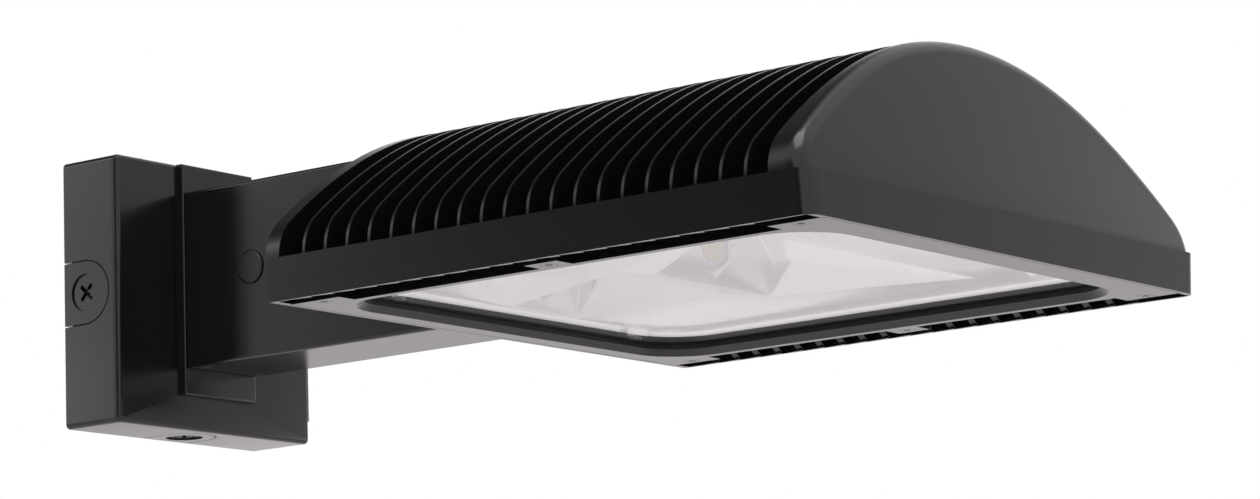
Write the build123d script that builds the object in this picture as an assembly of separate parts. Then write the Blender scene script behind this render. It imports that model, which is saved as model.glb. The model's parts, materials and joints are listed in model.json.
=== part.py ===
from build123d import *

import math
import os

# Arm-mounted wall pack light. Millimetres, +Z up, the wall is the plane Y = 0.
# The origin is the centre of the wall box's back face; the light stands out along -Y.

# ---- driving dimensions -------------------------------------------------------------------

# wall box
BOX_WIDTH = 156.0
BOX_HEIGHT = 150.0
BOX_DEPTH = 36.5
BOX_WALL = 5.0
BOX_BACK = 4.0
BOX_CORNER_R = 3.0
RIM_WIDTH = 9.5           # land round the mouth that the cover closes on
RIM_T = 5.5
FEED_HOLE_R = 11.1        # half-inch conduit knockout, 22.2 mm across
ANCHOR_SPAN_X = 110.0
ANCHOR_SPAN_Z = 96.0
ANCHOR_HOLE_R = 3.3
JUNCTION_SPAN = 88.9      # screw spacing of a four-inch outlet box
JUNCTION_HOLE_R = 2.6
WALL_SEAL_R = 54.0
WALL_SEAL_WIDTH = 4.0
WALL_SEAL_DEPTH = 1.5

# conduit entries
ENTRY_SETBACK = 16.0      # centre of each side entry from the wall
ENTRY_R = 17.5
ENTRY_GAP = 0.7
ENTRY_FLANGE_T = 3.0
ENTRY_FLANGE_MARGIN = 3.0
ENTRY_HUB_R = 12.0
ENTRY_HUB_LAND = 2.0
ENTRY_HUB_LENGTH = 14.0
ENTRY_BORE_R = 10.5       # half-inch conduit thread
PLUG_GAP = 0.1
PLUG_SINK = 1.0
PLUG_LENGTH = 9.0
CROSS_LENGTH = 11.4
CROSS_WIDTH = 2.4
CROSS_DEPTH = 2.5
CROSS_TURN_DEG = 42.0

# front cover and its hinge
COVER_T = 5.0
COVER_EDGE_R = 2.5
PAD_WIDTH = 58.0
PAD_PROUD = 3.7
PAD_FOOT = 19.0           # pad's lower edge above the box's bottom
PAD_EDGE_R = 1.2
KNUCKLE_R = 3.5           # concentric with the hinge pins, on the seam's right-hand edge
KNUCKLE_GAP = 0.3
BOX_KNUCKLE = 14.0
COVER_KNUCKLE = 8.0
HINGE_SPAN = 92.0         # between the middles of the two hinges
PIN_R = 1.6
PIN_RUNNING_GAP = 0.05
TONGUE_INSET = 16.0       # clamp tongue on top of the cover, from the box's left side
TONGUE_WIDTH = 22.0
TONGUE_LENGTH = 15.0
TONGUE_T = 3.5
TONGUE_GAP = 0.4
TONGUE_SWING_GAP = 1.4    # room beside the tongue, whose tip swings out as the cover opens
CLAMP_SETBACK = 7.0       # clamp screw axis behind the seam
CLAMP_SHANK_R = 2.5
CLAMP_HEAD_R = 4.6
CLAMP_HEAD_H = 2.0
CLAMP_BITE = 7.0
CLAMP_SLOT_GAP = 0.9
CLAMP_HEAD_GAP = 0.1
CLAMP_BOSS_R = 6.0
CLAMP_SOCKET_SHARE = 0.7  # depth of the hexagon over the height of the head
SEAL_WIDTH = 2.4
SEAL_DEPTH = 1.6
SEAL_INSET = 5.6
SEAL_LAND = 1.5

# arm
ARM_WIDTH = 57.4
ARM_BOTTOM_Z = -41.0
ARM_TOP_Z = 58.8
ARM_WALL = 3.2
ARM_END_WALL = 8.0
ARM_EDGE_R = 2.0
JOINT_SEAL_T = 1.0
JOINT_SEAL_INSET = 1.5
WIRE_HOLE_R = 10.0
GROMMET_BORE_R = 6.0
GROMMET_LIP = 2.0
GROMMET_LIP_T = 1.5
ARM_BOLT_SPAN_X = 38.0
BOX_JOINT_Z = 9.0         # centre of the wire way and bolts where the arm meets the cover
BOX_JOINT_SPAN_Z = 68.0
HEAD_JOINT_Z = -10.0      # the same where the arm meets the head
HEAD_JOINT_SPAN_Z = 30.0
ARM_BOLT_R = 2.5
ARM_BOLT_HEAD_R = 4.25
ARM_BOLT_HEAD_H = 5.0
ARM_BOLT_BITE = 6.5
ARM_BOLT_SINK_GAP = 0.4
HATCH_WIDTH = 52.4
HATCH_MARGIN_Y = 4.0
HATCH_T = 3.0
HATCH_GAP = 0.4
HATCH_LEDGE = 4.0
HATCH_LEDGE_T = 3.0
HATCH_SEAL_T = 1.0
HATCH_SCREW_R = 1.5
HATCH_SCREW_HEAD_R = 2.8
HATCH_SCREW_HEAD_H = 1.6
HATCH_BOSS_CAP = 1.0      # metal left over the end of each lid screw
SENSOR_HOLE_SETBACK = 48.8
SENSOR_HOLE_Z = 9.6
SENSOR_HOLE_R = 7.5
SENSOR_PLUG_R = 9.0
SENSOR_PLUG_WALL = 1.5
SENSOR_PLUG_PROUD = 1.4
SENSOR_PLUG_DEPTH = 6.0
SENSOR_RING_WIDTH = 0.8   # sunk ring round the button
SENSOR_RING_DEPTH = 0.8
SENSOR_DOME_SHARE = 0.8   # edge rounding over how far the button stands out

# driver inside the arm
DRIVER_WIDTH = 40.0
DRIVER_HEIGHT = 32.0
DRIVER_LENGTH = 128.0
DRIVER_EDGE_R = 2.0
DRIVER_FOOT = 12.0
DRIVER_FOOT_T = 2.0
DRIVER_POST_R = 5.0
DRIVER_POST_H = 8.0
DRIVER_SCREW_R = 2.0
DRIVER_SCREW_BITE = 6.0
DRIVER_SCREW_HEAD_R = 3.6
DRIVER_SCREW_HEAD_H = 2.4

# head casting
HEAD_BOTTOM_Z = -44.3
HEAD_REAR_Y = -240.0
HEAD_LENGTH = 334.0
HEAD_WIDTH = 354.0
BAND_DRAFT = 2.0
BAND_HEIGHT = 22.0
BAND_T = 1.4
BAND_FOOT_T = 2.0          # how far the foot of each fin stands in from the band
BAND_FOOT_LENGTH = 11.0
ARCH_HEIGHT = 109.0
CROWN_INSET = 67.0
CROWN_R = 230.0
SHOULDER_IN = 9.4
SHOULDER_RISE = 20.0
REAR_PLATE_T = 8.8
FIN_T = 1.7
FIN_PITCH = 14.4
FIN_SETBACK = 24.5        # first fin from the rear face
FIN_LEG_Z = 5.0
CAP_DEPTH = 22.2
CAP_EDGE_R = 8.0
CREASE_STEP = 2.5
CAP_TILT_DEG = 9.5
CAP_ROOM = 24.0           # stock behind and above the cap while its edges are rounded
FACE_OVERRUN = 0.001      # keeps the tilted face's cut clear of the bottom face
CORE_INSET = 27.0
CORE_SIDE_Z = 22.0
CORE_SHOULDER = 38.0
CORE_TOP_Z = 62.0
CORE_WALL = 4.0
CORE_END_WALL = 4.0
FRONT_LAND = 1.0          # between the glass pocket and the lamp chamber's front wall

# lens frame, glass and seals (heights above the head's bottom)
FRAME_REAR_IN = 3.0
FRAME_FRONT_IN = 2.4
FRAME_SIDE_RIM = 9.5
FRAME_REAR_RIM = 14.0
FRAME_FRONT_RIM = 21.6
WINDOW_R = 28.0
FRAME_HEIGHT = 11.6
FRAME_GAP = 0.4
LIP_T = 3.6
GLASS_SEAL_T = 2.0
GLASS_T = 4.0
GLASS_OVERLAP = 5.4
GLASS_UPPER_SEAL = 2.8
GLASS_GAP = 0.3
FRAME_SEAL_WIDTH = 1.6
FRAME_SEAL_DEPTH = 1.2
FRAME_SEAL_OFFSET = 1.2
CORNER_PAD_OUT = 12.0
CORNER_PAD_LENGTH = 32.0
TAB_OUT = 13.0
TAB_LENGTH = 20.0
TAB_SETBACK = 165.0
FRAME_SCREW_OUT = 6.0
FRAME_SCREW_INSET = 17.0
FRAME_SCREW_R = 2.5
FRAME_SCREW_HEAD_R = 4.4
FRAME_SCREW_HEAD_H = 3.6
FRAME_SCREW_GAP = 0.15
FRAME_SCREW_RECESS = 3.6
FRAME_SCREW_BITE = 12.0
FRAME_BOSS_R = 7.0
FRAME_BOSS_H = 18.0
AIR_GAP_RISE = 2.0

# reflector and light engines
SHEET_T = 1.0
SHEET_GAP = 0.6
POCKET_SETBACKS = (38.0, 150.0)
POCKET_HALF = 50.0
POCKET_LENGTH = 94.0
POCKET_EAVES = 18.0       # height of a pocket's upright sides
POCKET_RISE = 38.0
ROOF_HALF = 24.0
ROOF_LENGTH = 12.0
LED_TILT_DEG = 10.0       # the light engines face forward and this far down
LED_HEIGHT = 22.0         # light engine's centre above the sheet
LED_WINDOW_R = 14.8
LED_CLEARANCE = 1.8       # between the reflector and the holder
LED_BOARD = 28.0
LED_BOARD_T = 1.5
LED_BOARD_GAP = 0.15
LED_DISC_R = 9.2
LED_DISC_T = 0.8
LED_HOLDER_R = 19.0
LED_HOLDER_T = 2.6
LED_HOLDER_LAND = 1.2     # holder's window outside the disc, at the board
LED_HOLDER_FLARE = 2.2    # how much wider the window is at its mouth
LED_RIB_WIDTH = 60.0
LED_RIB_T = 11.0
LED_RIB_FOOT = 3.0
LED_SCREW_SPAN = 31.2
LED_SCREW_R = 1.2
LED_SCREW_HEAD_R = 2.2
LED_SCREW_HEAD_H = 1.4
LED_SCREW_BITE = 5.0
POST_INSET_X = 50.0
POST_REAR_IN = 10.0
POST_FRONT_IN = 30.0
POST_R = 5.0
REFLECTOR_SCREW_R = 1.5
REFLECTOR_SCREW_HEAD_R = 3.0
REFLECTOR_SCREW_HEAD_H = 1.8
REFLECTOR_SCREW_BITE = 8.0

# wiring parts in the wall box
TERMINAL_WIDTH = 44.0
TERMINAL_DEPTH = 15.0
TERMINAL_HEIGHT = 20.0
TERMINAL_EDGE = 1.2
TERMINAL_Z = 33.0
TERMINAL_WAYS = 3
TERMINAL_HOLE_R = 2.4
TERMINAL_HOLE_DEPTH = 9.0
EARTH_X = -35.0
EARTH_Z = 33.0
EARTH_SCREW_R = 2.5
EARTH_HEAD_R = 5.0
EARTH_HEAD_H = 3.0
EARTH_POST_R = 5.5
EARTH_POST_H = 5.0

# cross-recess screws: recess over head radius, and free depth past each tip
CROSS_REACH_SHARE = 1.1
CROSS_WIDTH_SHARE = 0.24
TIP_GAP = 0.5
SOCKET_SHARE = 1.1        # hexagon socket depth over shank radius

# ---- values worked out from the driving dimensions ----------------------------------------

SEAM_Y = -BOX_DEPTH
COVER_FRONT_Y = SEAM_Y - COVER_T
PAD_FRONT_Y = COVER_FRONT_Y - PAD_PROUD
BOX_TOP_Z = BOX_HEIGHT / 2
HINGE_X = BOX_WIDTH / 2
SEAL_HALF_X = BOX_WIDTH / 2 - SEAL_INSET
SEAL_HALF_Z = BOX_TOP_Z - SEAL_INSET
TONGUE_LEFT_X = -BOX_WIDTH / 2 + TONGUE_INSET
TONGUE_RIGHT_X = TONGUE_LEFT_X + TONGUE_WIDTH
RECESS_FLOOR_Z = BOX_TOP_Z - TONGUE_T - TONGUE_GAP
CLAMP_X = TONGUE_LEFT_X + TONGUE_WIDTH / 2
CLAMP_Y = SEAM_Y + CLAMP_SETBACK
ARM_REAR_Y = PAD_FRONT_Y - JOINT_SEAL_T
ARM_FRONT_Y = HEAD_REAR_Y + JOINT_SEAL_T
ARM_HALF = ARM_WIDTH / 2
HATCH_REAR_Y = ARM_REAR_Y - HATCH_MARGIN_Y
HATCH_FRONT_Y = ARM_FRONT_Y + HATCH_MARGIN_Y
HATCH_TOP_Z = ARM_BOTTOM_Z + HATCH_T
SENSOR_HOLE_Y = ARM_REAR_Y - SENSOR_HOLE_SETBACK
ARM_CEILING_Z = ARM_TOP_Z - ARM_WALL
DRIVER_TOP_Z = ARM_CEILING_Z - DRIVER_POST_H
DRIVER_MID_Y = (ARM_REAR_Y + ARM_FRONT_Y) / 2
HEAD_FRONT_Y = HEAD_REAR_Y - HEAD_LENGTH
CROWN_HALF = HEAD_WIDTH / 2 - CROWN_INSET
CAP_REAR_Y = HEAD_FRONT_Y + CAP_DEPTH
FIN_FIRST_Y = HEAD_REAR_Y - FIN_SETBACK
FIN_COUNT = 1 + int((FIN_FIRST_Y - CAP_REAR_Y) / FIN_PITCH)
CORE_HALF = HEAD_WIDTH / 2 - CORE_INSET
CORE_TOP_HALF = CORE_HALF - CORE_SHOULDER
FRAME_REAR_Y = HEAD_REAR_Y - FRAME_REAR_IN
FRAME_FRONT_Y = HEAD_FRONT_Y + FRAME_FRONT_IN
FRAME_TOP_Z = HEAD_BOTTOM_Z + FRAME_HEIGHT
WINDOW_HALF = CORE_HALF - FRAME_SIDE_RIM
WINDOW_REAR_Y = FRAME_REAR_Y - FRAME_REAR_RIM
WINDOW_FRONT_Y = FRAME_FRONT_Y + FRAME_FRONT_RIM
GLASS_BOTTOM_Z = HEAD_BOTTOM_Z + LIP_T + GLASS_SEAL_T
GLASS_TOP_Z = GLASS_BOTTOM_Z + GLASS_T
GLASS_HALF = WINDOW_HALF + GLASS_OVERLAP
GLASS_REAR_Y = WINDOW_REAR_Y + GLASS_OVERLAP
GLASS_FRONT_Y = WINDOW_FRONT_Y - GLASS_OVERLAP
GLASS_R = WINDOW_R + GLASS_OVERLAP
CAVITY_TOP_Z = HEAD_BOTTOM_Z + CORE_TOP_Z - CORE_WALL
CAVITY_REAR_Y = HEAD_REAR_Y - REAR_PLATE_T - CORE_END_WALL
CAVITY_FRONT_Y = GLASS_FRONT_Y - GLASS_GAP - FRONT_LAND
SHEET_BOTTOM_Z = FRAME_TOP_Z
SHEET_TOP_Z = SHEET_BOTTOM_Z + SHEET_T
LED_LEAN = math.tan(math.radians(LED_TILT_DEG))
LED_SEAT = SHEET_T + LED_CLEARANCE + LED_HOLDER_T
POCKET_REAR_YS = [HEAD_REAR_Y - setback for setback in POCKET_SETBACKS]
TAB_Y = HEAD_REAR_Y - TAB_SETBACK
FRAME_SCREW_X = CORE_HALF + FRAME_SCREW_OUT
FRAME_SCREW_YS = (FRAME_REAR_Y - FRAME_SCREW_INSET, TAB_Y, FRAME_FRONT_Y + FRAME_SCREW_INSET)


# ---- small shape helpers ------------------------------------------------------------------

def block(x0, x1, y0, y1, z0, z1):
    """Box between two corners."""
    middle = ((x0 + x1) / 2, (y0 + y1) / 2, (z0 + z1) / 2)
    return Pos(*middle) * Box(abs(x1 - x0), abs(y1 - y0), abs(z1 - z0))


def rod_x(radius, x0, x1, y, z):
    """Cylinder along X."""
    return Pos((x0 + x1) / 2, y, z) * Rot(0, 90, 0) * Cylinder(radius, abs(x1 - x0))


def rod_y(radius, x, y0, y1, z):
    """Cylinder along Y."""
    return Pos(x, (y0 + y1) / 2, z) * Rot(90, 0, 0) * Cylinder(radius, abs(y1 - y0))


def rod_z(radius, x, y, z0, z1):
    """Cylinder along Z."""
    return Pos(x, y, (z0 + z1) / 2) * Cylinder(radius, abs(z1 - z0))


def rounded_slab(half_x, y0, y1, z0, z1, radius):
    """Slab with rounded upright corners, centred on X = 0."""
    outline = RectangleRounded(2 * half_x, abs(y1 - y0), radius)
    return Pos(0, (y0 + y1) / 2, min(z0, z1)) * extrude(outline, abs(z1 - z0))


def ring_slab(half_x, y0, y1, z0, z1, radius, width):
    """Rounded slab with a rounded hole, leaving a band of one width."""
    outer = rounded_slab(half_x, y0, y1, z0, z1, radius)
    inner = rounded_slab(half_x - width, y0 - width, y1 + width, z0, z1, radius - width)
    return outer - inner


def prism_y(points, y0, y1):
    """Polygon in the XZ plane, extruded along Y."""
    wire = Wire.make_polygon([(x, y0, z) for x, z in points], close=True)
    return extrude(Face(wire), abs(y1 - y0), dir=(0, math.copysign(1, y1 - y0), 0))


def prism_x(points, x0, x1):
    """Polygon in the YZ plane, extruded along X."""
    wire = Wire.make_polygon([(x0, y, z) for y, z in points], close=True)
    return extrude(Face(wire), abs(x1 - x0), dir=(math.copysign(1, x1 - x0), 0, 0))


def corners(span_a, span_b):
    """The four corners of a rectangle of two spans."""
    return [(a * span_a / 2, b * span_b / 2) for a in (-1, 1) for b in (-1, 1)]


def cap_screw_y(x, y_seat, z, toward, radius, length, head_r, head_h):
    """Socket-head screw along Y; toward is the direction its tip points, +1 or -1."""
    shank = rod_y(radius, x, y_seat, y_seat + toward * length, z)
    head = rod_y(head_r, x, y_seat, y_seat - toward * head_h, z)
    socket = Pos(x, y_seat - toward * head_h, z) * Rot(90, 0, 0)
    recess = socket * extrude(RegularPolygon(radius, 6), radius * SOCKET_SHARE, both=True)
    return shank + head - recess


def pan_screw_z(x, y, z_seat, toward, radius, length, head_r, head_h):
    """Pan-head cross-recess screw along Z; toward is the direction its tip points."""
    shank = rod_z(radius, x, y, z_seat, z_seat + toward * length)
    head = rod_z(head_r, x, y, z_seat, z_seat - toward * head_h)
    face_z = z_seat - toward * head_h
    slot = head_r * CROSS_REACH_SHARE
    width = head_r * CROSS_WIDTH_SHARE
    cross = Box(slot, width, head_h) + Box(width, slot, head_h)
    return shank + head - Pos(x, y, face_z) * cross


# ---- wall box and what is fixed to it -----------------------------------------------------

def entry_places():
    """Name and turn about Y of each conduit entry; the entry is drawn on the left wall."""
    return (("left", 0), ("right", 180), ("bottom", 270))


def entry_reach(name):
    """Distance from the box's axis to the outer face of one wall."""
    return BOX_HEIGHT / 2 if name == "bottom" else BOX_WIDTH / 2


def entry_outline(reach, radius, x_inner, x_outer):
    """U-shaped slab on the left wall: a half disc with straight legs down to the wall."""
    disc = rod_x(radius, -reach + x_outer, -reach + x_inner, -ENTRY_SETBACK, 0)
    legs = block(-reach + x_outer, -reach + x_inner, 0, -ENTRY_SETBACK, -radius, radius)
    beyond_wall = block(-reach + x_outer, -reach + x_inner, 0, radius, -radius, radius)
    return disc + legs - beyond_wall


def hinge_middles():
    return (-HINGE_SPAN / 2, HINGE_SPAN / 2)


def cover_knuckles(radius, end_gap):
    """The cover's two knuckles at each hinge, lengthened at both ends by a gap."""
    near = BOX_KNUCKLE / 2 + KNUCKLE_GAP
    far = near + COVER_KNUCKLE
    return [rod_z(radius, HINGE_X, SEAM_Y, z + side * (near - end_gap), z + side * (far + end_gap))
            for z in hinge_middles() for side in (-1, 1)]


def box_knuckles(radius, end_gap):
    """The box's knuckle at each hinge, lengthened at both ends by a gap."""
    reach = BOX_KNUCKLE / 2 + end_gap
    return [rod_z(radius, HINGE_X, SEAM_Y, z - reach, z + reach) for z in hinge_middles()]


def wall_box():
    half = BOX_WIDTH / 2
    shell = block(-half, half, 0, SEAM_Y, -BOX_TOP_Z, BOX_TOP_Z)
    shell = fillet(shell.edges().filter_by(Axis.Y), BOX_CORNER_R)
    hollow_x = half - BOX_WALL
    hollow_z = BOX_TOP_Z - BOX_WALL
    mouth_x = half - RIM_WIDTH
    mouth_z = BOX_TOP_Z - RIM_WIDTH
    shell -= block(-hollow_x, hollow_x, -BOX_BACK, SEAM_Y + RIM_T, -hollow_z, hollow_z)
    shell -= block(-mouth_x, mouth_x, -BOX_BACK, SEAM_Y - 1, -mouth_z, mouth_z)

    # knuckles on the right-hand front edge, and room for the cover's
    for knuckle in box_knuckles(KNUCKLE_R, 0):
        shell += knuckle
    for room in cover_knuckles(KNUCKLE_R + KNUCKLE_GAP, KNUCKLE_GAP):
        shell -= room
    for bore in box_knuckles(PIN_R, 0):
        shell -= bore

    # recess for the cover's tongue, with a boss under it for the clamp screw
    boss_low = RECESS_FLOOR_Z - CLAMP_BITE - SEAL_LAND
    shell += rod_z(CLAMP_BOSS_R, CLAMP_X, CLAMP_Y, boss_low, hollow_z)
    shell -= block(TONGUE_LEFT_X - TONGUE_SWING_GAP, TONGUE_RIGHT_X + TONGUE_GAP, SEAM_Y - 1,
                   SEAM_Y + TONGUE_LENGTH + TONGUE_GAP, RECESS_FLOOR_Z, BOX_TOP_Z + 1)
    shell -= rod_z(CLAMP_SHANK_R, CLAMP_X, CLAMP_Y, RECESS_FLOOR_Z - CLAMP_BITE, BOX_TOP_Z)

    # groove for the cover gasket
    shell -= cover_seal_ring(SEAM_Y - 1)

    # back plate: feed hole, wall anchors, outlet-box screws, seal groove
    shell -= rod_y(FEED_HOLE_R, 0, 1, -BOX_BACK - 1, 0)
    for x, z in corners(ANCHOR_SPAN_X, ANCHOR_SPAN_Z):
        shell -= rod_y(ANCHOR_HOLE_R, x, 1, -BOX_BACK - 1, z)
    for side in (-1, 1):
        shell -= rod_y(JUNCTION_HOLE_R, side * JUNCTION_SPAN / 2, 1, -BOX_BACK - 1, 0)
    shell -= wall_seal_ring(1)

    # seat of the earth screw
    shell += rod_y(EARTH_POST_R, EARTH_X, -BOX_BACK, -BOX_BACK - EARTH_POST_H, EARTH_Z)
    shell -= rod_y(EARTH_SCREW_R, EARTH_X, -BOX_BACK, -BOX_BACK - EARTH_POST_H, EARTH_Z)

    # a slot open to the wall for each conduit insert
    for name, turn in entry_places():
        slot = entry_outline(entry_reach(name), ENTRY_R + ENTRY_GAP, BOX_WALL + 1, -1)
        shell -= Rot(0, turn, 0) * (slot + Pos(0, 1, 0) * slot)
    return shell


def wall_seal_ring(y0):
    """Ring that seals the back plate to the wall, from y0 down to the groove's floor."""
    outer = rod_y(WALL_SEAL_R, 0, y0, -WALL_SEAL_DEPTH, 0)
    return outer - rod_y(WALL_SEAL_R - WALL_SEAL_WIDTH, 0, y0, -WALL_SEAL_DEPTH, 0)


def cover_seal_ring(y0):
    """Rectangular gasket in the box's rim, from y0 back to the groove's floor."""
    floor_y = SEAM_Y + SEAL_DEPTH
    outer = block(-SEAL_HALF_X, SEAL_HALF_X, y0, floor_y, -SEAL_HALF_Z, SEAL_HALF_Z)
    inner_x = SEAL_HALF_X - SEAL_WIDTH
    inner_z = SEAL_HALF_Z - SEAL_WIDTH
    return outer - block(-inner_x, inner_x, y0, floor_y, -inner_z, inner_z)


def conduit_insert(name, turn):
    """Bored hub that slides into a wall's slot, with a flange inside the box."""
    reach = entry_reach(name)
    body = entry_outline(reach, ENTRY_R, BOX_WALL, 0)
    flange_half = ENTRY_R + ENTRY_FLANGE_MARGIN
    flange_front = -(ENTRY_SETBACK + ENTRY_HUB_R + ENTRY_HUB_LAND)
    inner_x = -reach + BOX_WALL
    flange_x = inner_x + ENTRY_FLANGE_T
    flange = block(inner_x, flange_x, -BOX_BACK, flange_front, -flange_half, flange_half)
    hub = rod_x(ENTRY_HUB_R, inner_x, -reach + ENTRY_HUB_LENGTH, -ENTRY_SETBACK, 0)
    bore = rod_x(ENTRY_BORE_R, -reach - 1, 0, -ENTRY_SETBACK, 0)
    return Rot(0, turn, 0) * (body + flange + hub - bore)


def conduit_plug(name, turn):
    """Plug in an insert's bore, a little sunk, with a cross recess."""
    face_x = -entry_reach(name) + PLUG_SINK
    body = rod_x(ENTRY_BORE_R - PLUG_GAP, face_x, face_x + PLUG_LENGTH, -ENTRY_SETBACK, 0)
    cross = Box(CROSS_DEPTH * 2, CROSS_LENGTH, CROSS_WIDTH)
    cross += Box(CROSS_DEPTH * 2, CROSS_WIDTH, CROSS_LENGTH)
    return Rot(0, turn, 0) * (body - Pos(face_x, -ENTRY_SETBACK, 0) * Rot(CROSS_TURN_DEG, 0, 0) * cross)


def hinge_pins():
    """Two pins, pressed in the box's knuckles and running in the cover's."""
    reach = BOX_KNUCKLE / 2 + KNUCKLE_GAP + COVER_KNUCKLE
    pins = [rod_z(PIN_R, HINGE_X, SEAM_Y, z - reach, z + reach) for z in hinge_middles()]
    return Compound(children=pins)


def clamp_screw():
    """Low socket screw that holds the cover's tongue; it stays in the box when loosened."""
    seat_z = BOX_TOP_Z - TONGUE_GAP + CLAMP_HEAD_GAP
    top_z = seat_z + CLAMP_HEAD_H
    shank = rod_z(CLAMP_SHANK_R, CLAMP_X, CLAMP_Y, RECESS_FLOOR_Z - CLAMP_BITE, seat_z)
    head = rod_z(CLAMP_HEAD_R, CLAMP_X, CLAMP_Y, seat_z, top_z)
    socket = extrude(RegularPolygon(CLAMP_SHANK_R, 6), CLAMP_HEAD_H * CLAMP_SOCKET_SHARE, both=True)
    return shank + head - Pos(CLAMP_X, CLAMP_Y, top_z) * socket


def terminal_block():
    """Push-in terminal block on the back plate, with one funnel for each wire."""
    front_y = -BOX_BACK - TERMINAL_DEPTH
    half_x = TERMINAL_WIDTH / 2
    half_z = TERMINAL_HEIGHT / 2
    body = block(-half_x, half_x, -BOX_BACK, front_y, TERMINAL_Z - half_z, TERMINAL_Z + half_z)
    body = chamfer(body.faces().sort_by(Axis.Y)[0].edges(), TERMINAL_EDGE)
    pitch = TERMINAL_WIDTH / (TERMINAL_WAYS + 1)
    for way in range(TERMINAL_WAYS):
        x = (way - (TERMINAL_WAYS - 1) / 2) * pitch
        for side in (-1, 1):
            z = TERMINAL_Z + side * TERMINAL_HEIGHT / 4
            body -= rod_y(TERMINAL_HOLE_R, x, front_y - 1, front_y + TERMINAL_HOLE_DEPTH, z)
    return body


def earth_screw():
    seat_y = -BOX_BACK - EARTH_POST_H
    return cap_screw_y(EARTH_X, seat_y, EARTH_Z, 1, EARTH_SCREW_R, EARTH_POST_H, EARTH_HEAD_R, EARTH_HEAD_H)


# ---- front cover --------------------------------------------------------------------------

def box_bolt_places():
    return [(x, BOX_JOINT_Z + z) for x, z in corners(ARM_BOLT_SPAN_X, BOX_JOINT_SPAN_Z)]


def head_bolt_places():
    return [(x, HEAD_JOINT_Z + z) for x, z in corners(ARM_BOLT_SPAN_X, HEAD_JOINT_SPAN_Z)]


def front_cover():
    half = BOX_WIDTH / 2
    plate = block(-half, half, SEAM_Y, COVER_FRONT_Y, -BOX_TOP_Z, BOX_TOP_Z)
    plate = fillet(plate.edges().filter_by(Axis.Y), BOX_CORNER_R)
    plate = fillet(plate.faces().sort_by(Axis.Y)[0].edges(), COVER_EDGE_R)
    pad_half = PAD_WIDTH / 2
    pad = block(-pad_half, pad_half, SEAM_Y, PAD_FRONT_Y, -BOX_TOP_Z + PAD_FOOT, BOX_TOP_Z)
    pad = fillet(pad.faces().sort_by(Axis.Y)[0].edges(), PAD_EDGE_R)
    cover = plate + pad

    # knuckles on the right-hand rear edge, and room for the box's
    for room in box_knuckles(KNUCKLE_R + KNUCKLE_GAP, KNUCKLE_GAP):
        cover -= room
    for knuckle in cover_knuckles(KNUCKLE_R, 0):
        cover += knuckle
    for bore in cover_knuckles(PIN_R + PIN_RUNNING_GAP, KNUCKLE_GAP):
        cover -= bore

    # tongue with an open slot, which the clamp screw holds
    tip_y = SEAM_Y + TONGUE_LENGTH
    tongue = block(TONGUE_LEFT_X, TONGUE_RIGHT_X, COVER_FRONT_Y + COVER_EDGE_R, tip_y,
                   BOX_TOP_Z - TONGUE_T, BOX_TOP_Z - TONGUE_GAP)
    slot_half = CLAMP_SHANK_R + CLAMP_SLOT_GAP
    slot = rod_z(slot_half, CLAMP_X, CLAMP_Y, RECESS_FLOOR_Z, BOX_TOP_Z)
    slot += block(CLAMP_X - slot_half, CLAMP_X + slot_half, CLAMP_Y, tip_y + 1, RECESS_FLOOR_Z, BOX_TOP_Z)
    cover += tongue - slot

    # arm bolts and the wire way
    for x, z in box_bolt_places():
        cover -= rod_y(ARM_BOLT_R, x, SEAM_Y + 1, PAD_FRONT_Y - 1, z)
        cover -= rod_y(ARM_BOLT_HEAD_R + ARM_BOLT_SINK_GAP, x, SEAM_Y + 1, SEAM_Y - ARM_BOLT_HEAD_H, z)
    return cover - rod_y(WIRE_HOLE_R, 0, SEAM_Y + 1, PAD_FRONT_Y - 1, BOX_JOINT_Z)


def cover_gasket():
    """Rubber cord in the rim's groove, flush with the seam."""
    return cover_seal_ring(SEAM_Y)


def joint_seal(y0, y1, bolt_places, wire_z):
    """Flat gasket between the arm's end and its seat, with the bolt and wire holes."""
    half = ARM_HALF - JOINT_SEAL_INSET
    seal = block(-half, half, y0, y1, ARM_BOTTOM_Z + JOINT_SEAL_INSET, ARM_TOP_Z - JOINT_SEAL_INSET)
    for x, z in bolt_places:
        seal -= rod_y(ARM_BOLT_R, x, y0, y1, z)
    return seal - rod_y(WIRE_HOLE_R, 0, y0, y1, wire_z)


def arm_bolts(seat_y, toward, grip, bolt_places):
    """Four socket screws through a seat into one end wall of the arm."""
    length = grip + ARM_BOLT_BITE
    bolts = [cap_screw_y(x, seat_y, z, toward, ARM_BOLT_R, length, ARM_BOLT_HEAD_R, ARM_BOLT_HEAD_H)
             for x, z in bolt_places]
    return Compound(children=bolts)


def wire_grommet(seat_y, toward, through, z):
    """Rubber bush lining a wire way; toward points from its lip into the hole."""
    sleeve = rod_y(WIRE_HOLE_R, 0, seat_y, seat_y + toward * through, z)
    lip = rod_y(WIRE_HOLE_R + GROMMET_LIP, 0, seat_y - toward * GROMMET_LIP_T, seat_y, z)
    bore = rod_y(GROMMET_BORE_R, 0, seat_y - toward * (GROMMET_LIP_T + 1), seat_y + toward * (through + 1), z)
    return sleeve + lip - bore


# ---- arm ----------------------------------------------------------------------------------

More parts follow.
